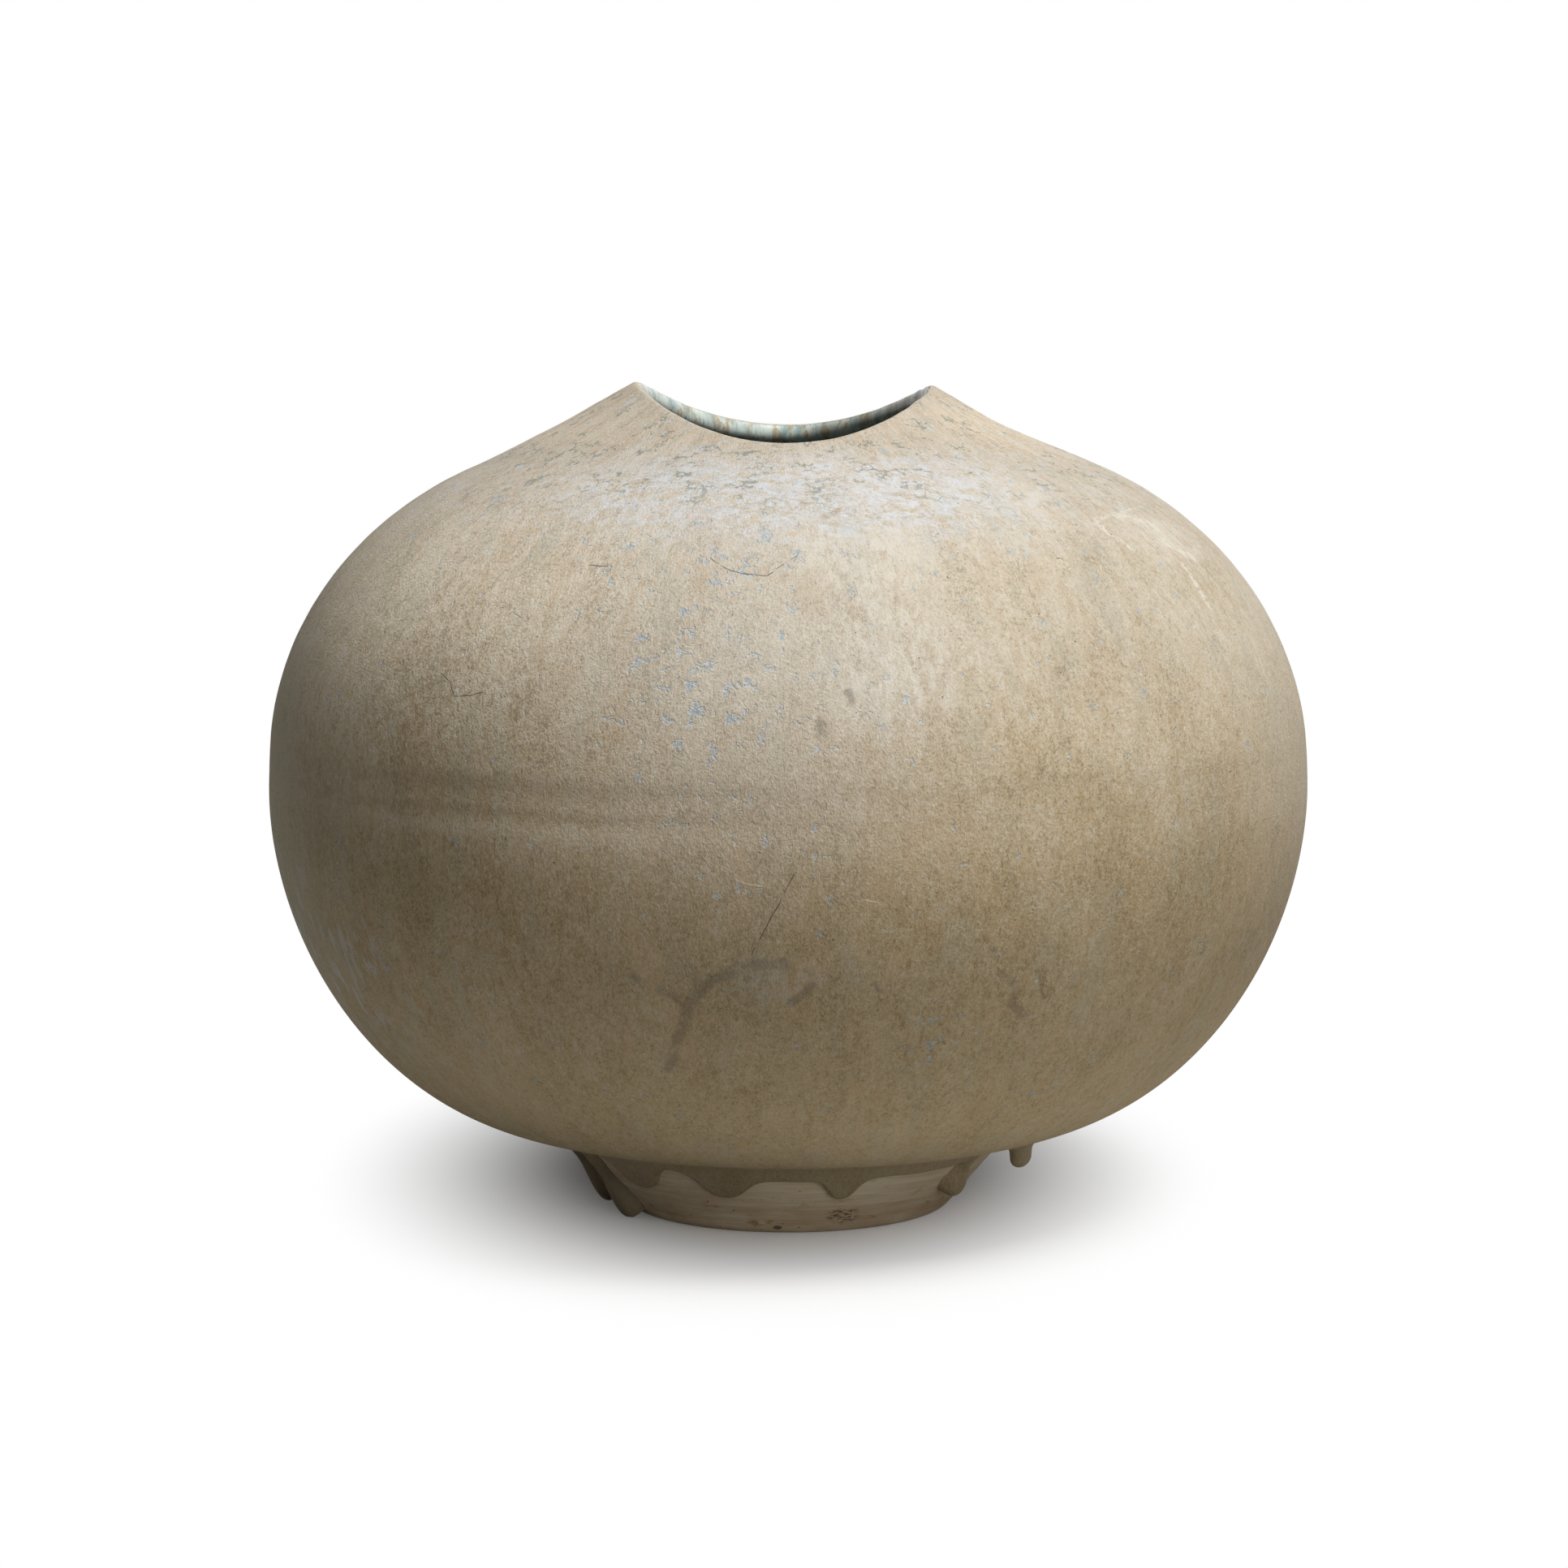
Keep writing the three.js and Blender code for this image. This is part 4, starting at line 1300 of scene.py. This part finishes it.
class POT_OT_foot(bpy.types.Operator):
    """Models the bare clay foot with its throwing lines and soft edges"""

    bl_idname = "pot.foot"
    bl_label = "Foot"

    # Rounding of the two edges at the floor, and the depth of the fine and the broad throwing lines
    SOFT = 2.2 * MM
    FINE_LINE = 0.16 * MM
    BROAD_LINE = 0.22 * MM
    LINE_FADE = (0.2 * MM, 3 * MM)

    # Rows of the section
    SIDE_ROWS = 44
    TOE_ROWS = 7
    HEEL_ROWS = 6
    BACK_ROWS = 14

    def execute(self, context):
        shape = context.scene.pot_shape
        section = self.section(shape)
        piece = spun("turned_foot", section, FOOT_COLUMNS, closed=True)
        row, angle = rows_and_angles(piece)
        radius, height = section[row].T
        top = section[:, 1].max()
        lines = self.FINE_LINE * roughen(angle, height, *FOOT_FINE_NOISE)
        lines += self.BROAD_LINE * roughen(angle, height, *FOOT_BROAD_NOISE)
        lines *= smooth(*self.LINE_FADE, height) * smooth(top, top - self.LINE_FADE[1], height)
        set_places(piece, *around_axis(radius + lines, angle, height))
        finish_piece(piece, surface("thrown_clay"), "bare_clay", "foot_ring")
        return {"FINISHED"}

    def section(self, shape):
        """Section of the foot: down its side, round the toe, over the rim and the heel, and up its inside."""
        lean = 1 / math.tan(shape.foot_flare)
        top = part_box("foot_ring")[1].z
        outer = shape.foot_radius
        inner = outer - shape.foot_rim
        soft = self.SOFT
        rows = [(outer + height * lean, height) for height in np.linspace(top, soft, self.SIDE_ROWS)]
        for turn in np.linspace(0, 1, self.TOE_ROWS)[1:]:
            rows.append((outer + soft * lean * (1 - turn) ** 2 - soft * turn ** 2, soft * (1 - turn) ** 2))
        for turn in np.linspace(0, 1, self.HEEL_ROWS):
            rows.append((inner + soft * (1 - turn) ** 2 + soft * lean * turn ** 2, soft * turn ** 2))
        rows += [(inner + height * lean, height) for height in np.linspace(soft, top, self.BACK_ROWS)[1:]]
        return np.array(rows)


class POT_OT_lining(bpy.types.Operator):
    """Models the glossy lining from inside the lip down to the pot's floor"""

    bl_idname = "pot.lining"
    bl_label = "Lining"

    # Rows of the section up the wall, across the floor and under it; behind the wall only every third is made
    WALL_ROWS = 70
    FLOOR_ROWS = 13
    UNDER_ROWS = 5
    BEHIND_STEP = 3

    # The lining's lap over the coat inside the lip, its thickness, and its lift off the wall, which ripples
    LAP = 1.5 * MM
    SKIN = 0.7 * MM
    LIFT = 1 * MM
    RIPPLE = 0.3
    LIFT_ENDS = (1, 0.88)

    # Lift of the floor, and the swirl that a finger left on it: its depth, turn, start and fading rim
    FLOOR_LIFT = 0.6 * MM
    SWIRL = 0.5 * MM
    SWIRL_TURN = 420
    SWIRL_START = 20 * MM
    SWIRL_RIM = (80 * MM, 60 * MM)

    def execute(self, context):
        shape = context.scene.pot_shape
        outline = Outline(shape)
        begin = outline.bowl_start
        lip = ROLL_LIFT - ROLL_INNER - LIP_RETURN + self.LAP
        wall = np.linspace(0, 1, self.WALL_ROWS)
        behind = wall[::-self.BEHIND_STEP]
        flat = np.full(self.FLOOR_ROWS, -1.0)
        under = np.full(self.UNDER_ROWS, -1.0)
        share = np.concatenate((flat, wall, behind, under))
        skin = np.zeros(len(share))
        skin[len(flat) + len(wall):len(share) - len(under)] = self.SKIN
        section = self.section(shape, outline, share, skin, outline.peak + lip)
        piece = spun("lining", section, LINING_COLUMNS, closed=False)
        row, angle = rows_and_angles(piece)
        share = share[row]
        skin = skin[row]
        course = begin + share * (outline.lip(angle) + lip - begin)
        lift = self.LIFT * (1 + self.RIPPLE * roughen(angle, course, *LINING_NOISE))
        lift *= smooth(*self.LIFT_ENDS, share) * (skin == 0)
        radius, height = outline.at(course, wall_depth(shape, outline, course) - skin + lift)
        flat = share < 0
        radius[flat], height[flat] = section[row[flat]].T
        swirl = self.SWIRL * np.cos(angle[flat] + radius[flat] * self.SWIRL_TURN)
        swirl *= smooth(0, self.SWIRL_START, radius[flat]) * smooth(*self.SWIRL_RIM, radius[flat])
        height[flat] += (self.FLOOR_LIFT + swirl) * (row[flat] < self.FLOOR_ROWS)
        set_places(piece, *leaned(shape, *around_axis(radius, angle, height)))
        finish_piece(piece, surface("glossy_blue_green_glaze"), "blue_green_glaze", "inner_glaze")
        return {"FINISHED"}

    def section(self, shape, outline, share, skin, top):
        """Section of the lining: out over the floor, up the wall, down behind it, and in under the floor."""
        course = outline.bowl_start + share * (top - outline.bowl_start)
        section = np.column_stack(outline.at(course, wall_depth(shape, outline, course) - skin))
        corner = section[self.FLOOR_ROWS]
        heel = section[-self.UNDER_ROWS - 1]
        floor = np.linspace(0, corner[0], self.FLOOR_ROWS + 1)[:-1]
        under = np.linspace(heel[0], 0, self.UNDER_ROWS + 1)[1:]
        section[:self.FLOOR_ROWS] = np.column_stack((floor, np.full(self.FLOOR_ROWS, corner[1])))
        section[-self.UNDER_ROWS:] = np.column_stack((under, np.full(self.UNDER_ROWS, heel[1])))
        return section


class POT_OT_collar(bpy.types.Operator):
    """Models the clay collar under the coat, set off to one side with it"""

    bl_idname = "pot.collar"
    bl_label = "Collar"

    # Start over the bottom of the CAD collar, the gap to the lining, and the rows of the two faces
    START = 2 * MM
    LINING_GAP = 0.8 * MM
    OUTER_ROWS = 24
    INNER_ROWS = 16

    # Edge under the lip: how far it rises, and how far each face's bevel reaches down and in
    EDGE_RISE = 0.2 * MM
    OUTER_DOWN = 0.8 * MM
    OUTER_IN = 0.8 * MM
    INNER_DOWN = 2.8 * MM
    INNER_IN = 1.6 * MM

    def execute(self, context):
        shape = context.scene.pot_shape
        outline = Outline(shape)
        start = float(outline.course_at_height(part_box("mouth_collar")[0].z + self.START))
        outer = shape.coat
        inner = float(wall_depth(shape, outline, outline.peak)) - self.LINING_GAP
        rows = [(share, -self.OUTER_DOWN, outer) for share in np.linspace(0, 1, self.OUTER_ROWS)]
        rows += [(1, self.EDGE_RISE, outer + self.OUTER_IN), (1, self.EDGE_RISE, inner - self.INNER_IN)]
        rows += [(share, -self.INNER_DOWN, inner) for share in np.linspace(1, 0, self.INNER_ROWS)]
        share, offset, depth = np.array(rows).T
        section = np.column_stack(outline.at(start + share * (outline.peak + offset - start), depth))
        piece = spun("collar", section, LINING_COLUMNS, closed=True)
        row, angle = rows_and_angles(piece)
        course = start + share[row] * (outline.lip(angle) + offset[row] - start)
        radius, height = outline.at(course, depth[row])
        set_places(piece, *leaned(shape, *around_axis(radius, angle, height)))
        finish_piece(piece, surface("thrown_clay"), "bare_clay", "mouth_collar")
        return {"FINISHED"}


class POT_OT_clay(bpy.types.Operator):
    """Gives the clay sections and the slip in their seams their finish"""

    bl_idname = "pot.clay"
    bl_label = "Clay and Slip"

    FINISHES = {
        "lower_bowl": "thrown_clay",
        "upper_bowl": "thrown_clay",
        "foot_slip_joint": "dried_slip",
        "belly_slip_joint": "dried_slip",
        "neck_slip_joint": "dried_slip",
    }

    def execute(self, context):
        for name, kind in self.FINISHES.items():
            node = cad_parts[name]
            node.data.materials.clear()
            node.data.materials.append(surface(kind))
        return {"FINISHED"}


# Stage

class POT_OT_stage(bpy.types.Operator):
    """Sets up the pale floor, the soft light and the camera"""

    bl_idname = "pot.stage"
    bl_label = "Stage"

    # Camera: its place, how far it looks down, and its lens and sensor in mm
    CAMERA_PLACE = (-1.6 * MM, -1700 * MM, 364 * MM)
    CAMERA_DOWN = math.radians(6.72)
    LENS = 101.42
    SENSOR = 36

    # Lamps: name, place, size, power in watts, and the point that each faces
    LAMPS = (
        ("key_light", (760 * MM, -880 * MM, 2220 * MM), 1000 * MM, 51, (0, 0, 160 * MM)),
        ("fill_light", (950 * MM, -1950 * MM, 300 * MM), 1400 * MM, 10.5, (0, 0, 100 * MM)),
    )
    SKY_STRENGTH = 0.07

    # Floor: its size in metres, its greys, and the oval in which it keeps the pot's shadow
    FLOOR_SIZE = 24
    LIT_GREY = (0.5, 0.5, 0.5, 1)
    SHOWN_GREY = (0.9, 0.9, 0.9, 1)
    WHITE = (1, 1, 1, 1)
    SHADOW_SHIFT = (8 * MM, -70 * MM, 0)
    SHADOW_SQUEEZE = (1, 0.62, 0)
    SHADOW_FADE = (55 * MM, 187 * MM)

    def execute(self, context):
        scene = context.scene
        scene.view_settings.view_transform = "Standard"
        bpy.ops.object.select_all(action="DESELECT")
        bpy.ops.mesh.primitive_plane_add(size=self.FLOOR_SIZE)
        floor = context.object
        floor.name = "floor"
        floor.data.materials.append(self.floor_white())
        self.world(scene)
        for lamp in self.LAMPS:
            self.add_lamp(*lamp)
        facing = (math.pi / 2 - self.CAMERA_DOWN, 0, 0)
        bpy.ops.object.camera_add(location=self.CAMERA_PLACE, rotation=facing)
        camera = context.object
        camera.name = "camera"
        camera.data.lens = self.LENS
        camera.data.sensor_width = self.SENSOR
        scene.camera = camera
        return {"FINISHED"}

    @staticmethod
    def add_lamp(name, place, size, power, aim):
        """Adds a square area lamp that faces a point."""
        turn = (Vector(aim) - Vector(place)).to_track_quat("-Z", "Y").to_euler()
        bpy.ops.object.light_add(type="AREA", location=place, rotation=turn)
        lamp = bpy.context.object
        lamp.name = name
        lamp.data.size = size
        lamp.data.energy = power

    def floor_white(self):
        """White floor that keeps the shadow near the pot and runs out to plain white."""
        material, shader, place = new_material("floor_white")
        tree = material.node_tree
        tree.nodes.remove(shader)
        lit = place.node("BsdfDiffuse", {"Color": self.LIT_GREY})
        shown = place.node("BsdfDiffuse", {"Color": self.SHOWN_GREY})
        white = place.node("Emission", {"Color": self.WHITE, "Strength": 1.0})
        from_shadow = place.moved(*self.SHADOW_SHIFT).stretched(*self.SHADOW_SQUEEZE).length()
        far = from_shadow.step(*self.SHADOW_FADE)
        seen = place.node("MixShader", {0: far, 1: shown, 2: white})
        mixed = place.node("MixShader", {0: self.seen_directly(place), 1: lit, 2: seen})
        tree.links.new(mixed.socket, tree.nodes["Material Output"].inputs["Surface"])
        return material

    def world(self, scene):
        """Plain soft light from all round; the camera sees white."""
        world = bpy.data.worlds.new("soft_white")
        world.use_nodes = True
        scene.world = world
        background = world.node_tree.nodes["Background"]
        seen = self.seen_directly(Wire(background.outputs[0]))
        plug(background, "Strength", self.SKY_STRENGTH + seen * (1 - self.SKY_STRENGTH))
        background.inputs["Color"].default_value = self.WHITE

    @staticmethod
    def seen_directly(wire):
        """1 for rays that come from the camera, or from it by way of a glossy or clear surface."""
        kinds = ("Is Camera Ray", "Is Glossy Ray", "Is Transmission Ray")
        return largest([wire.node("LightPath", {}, kind) for kind in kinds])


class POT_PT_panel(bpy.types.Panel):
    """Sizes, colours and pieces of the pot"""

    bl_idname = "POT_PT_panel"
    bl_label = "Stoneware Pot"
    bl_space_type = "VIEW_3D"
    bl_region_type = "UI"
    bl_category = "Pot"

    def draw(self, context):
        for group in (context.scene.pot_shape, context.scene.pot_colours):
            box = self.layout.box()
            for name in group.__annotations__:
                box.prop(group, name)
        for operator in OPERATORS:
            self.layout.operator(operator.bl_idname)


OPERATORS = (
    POT_OT_stage,
    POT_OT_upper_coat,
    POT_OT_lower_coat,
    POT_OT_hanging_drop,
    POT_OT_foot,
    POT_OT_lining,
    POT_OT_collar,
    POT_OT_clay,
)
CLASSES = (PotShape, PotColours, *OPERATORS, POT_PT_panel)


def register():
    for one in CLASSES:
        bpy.utils.register_class(one)
    bpy.types.Scene.pot_shape = PointerProperty(type=PotShape)
    bpy.types.Scene.pot_colours = PointerProperty(type=PotColours)


def unregister():
    del bpy.types.Scene.pot_colours
    del bpy.types.Scene.pot_shape
    for one in reversed(CLASSES):
        bpy.utils.unregister_class(one)


def main():
    register()
    bpy.ops.pot.stage()
    bpy.ops.pot.upper_coat()
    bpy.ops.pot.lower_coat()
    bpy.ops.pot.hanging_drop()
    bpy.ops.pot.foot()
    bpy.ops.pot.lining()
    bpy.ops.pot.collar()
    bpy.ops.pot.clay()


if __name__ == "__main__":
    main()
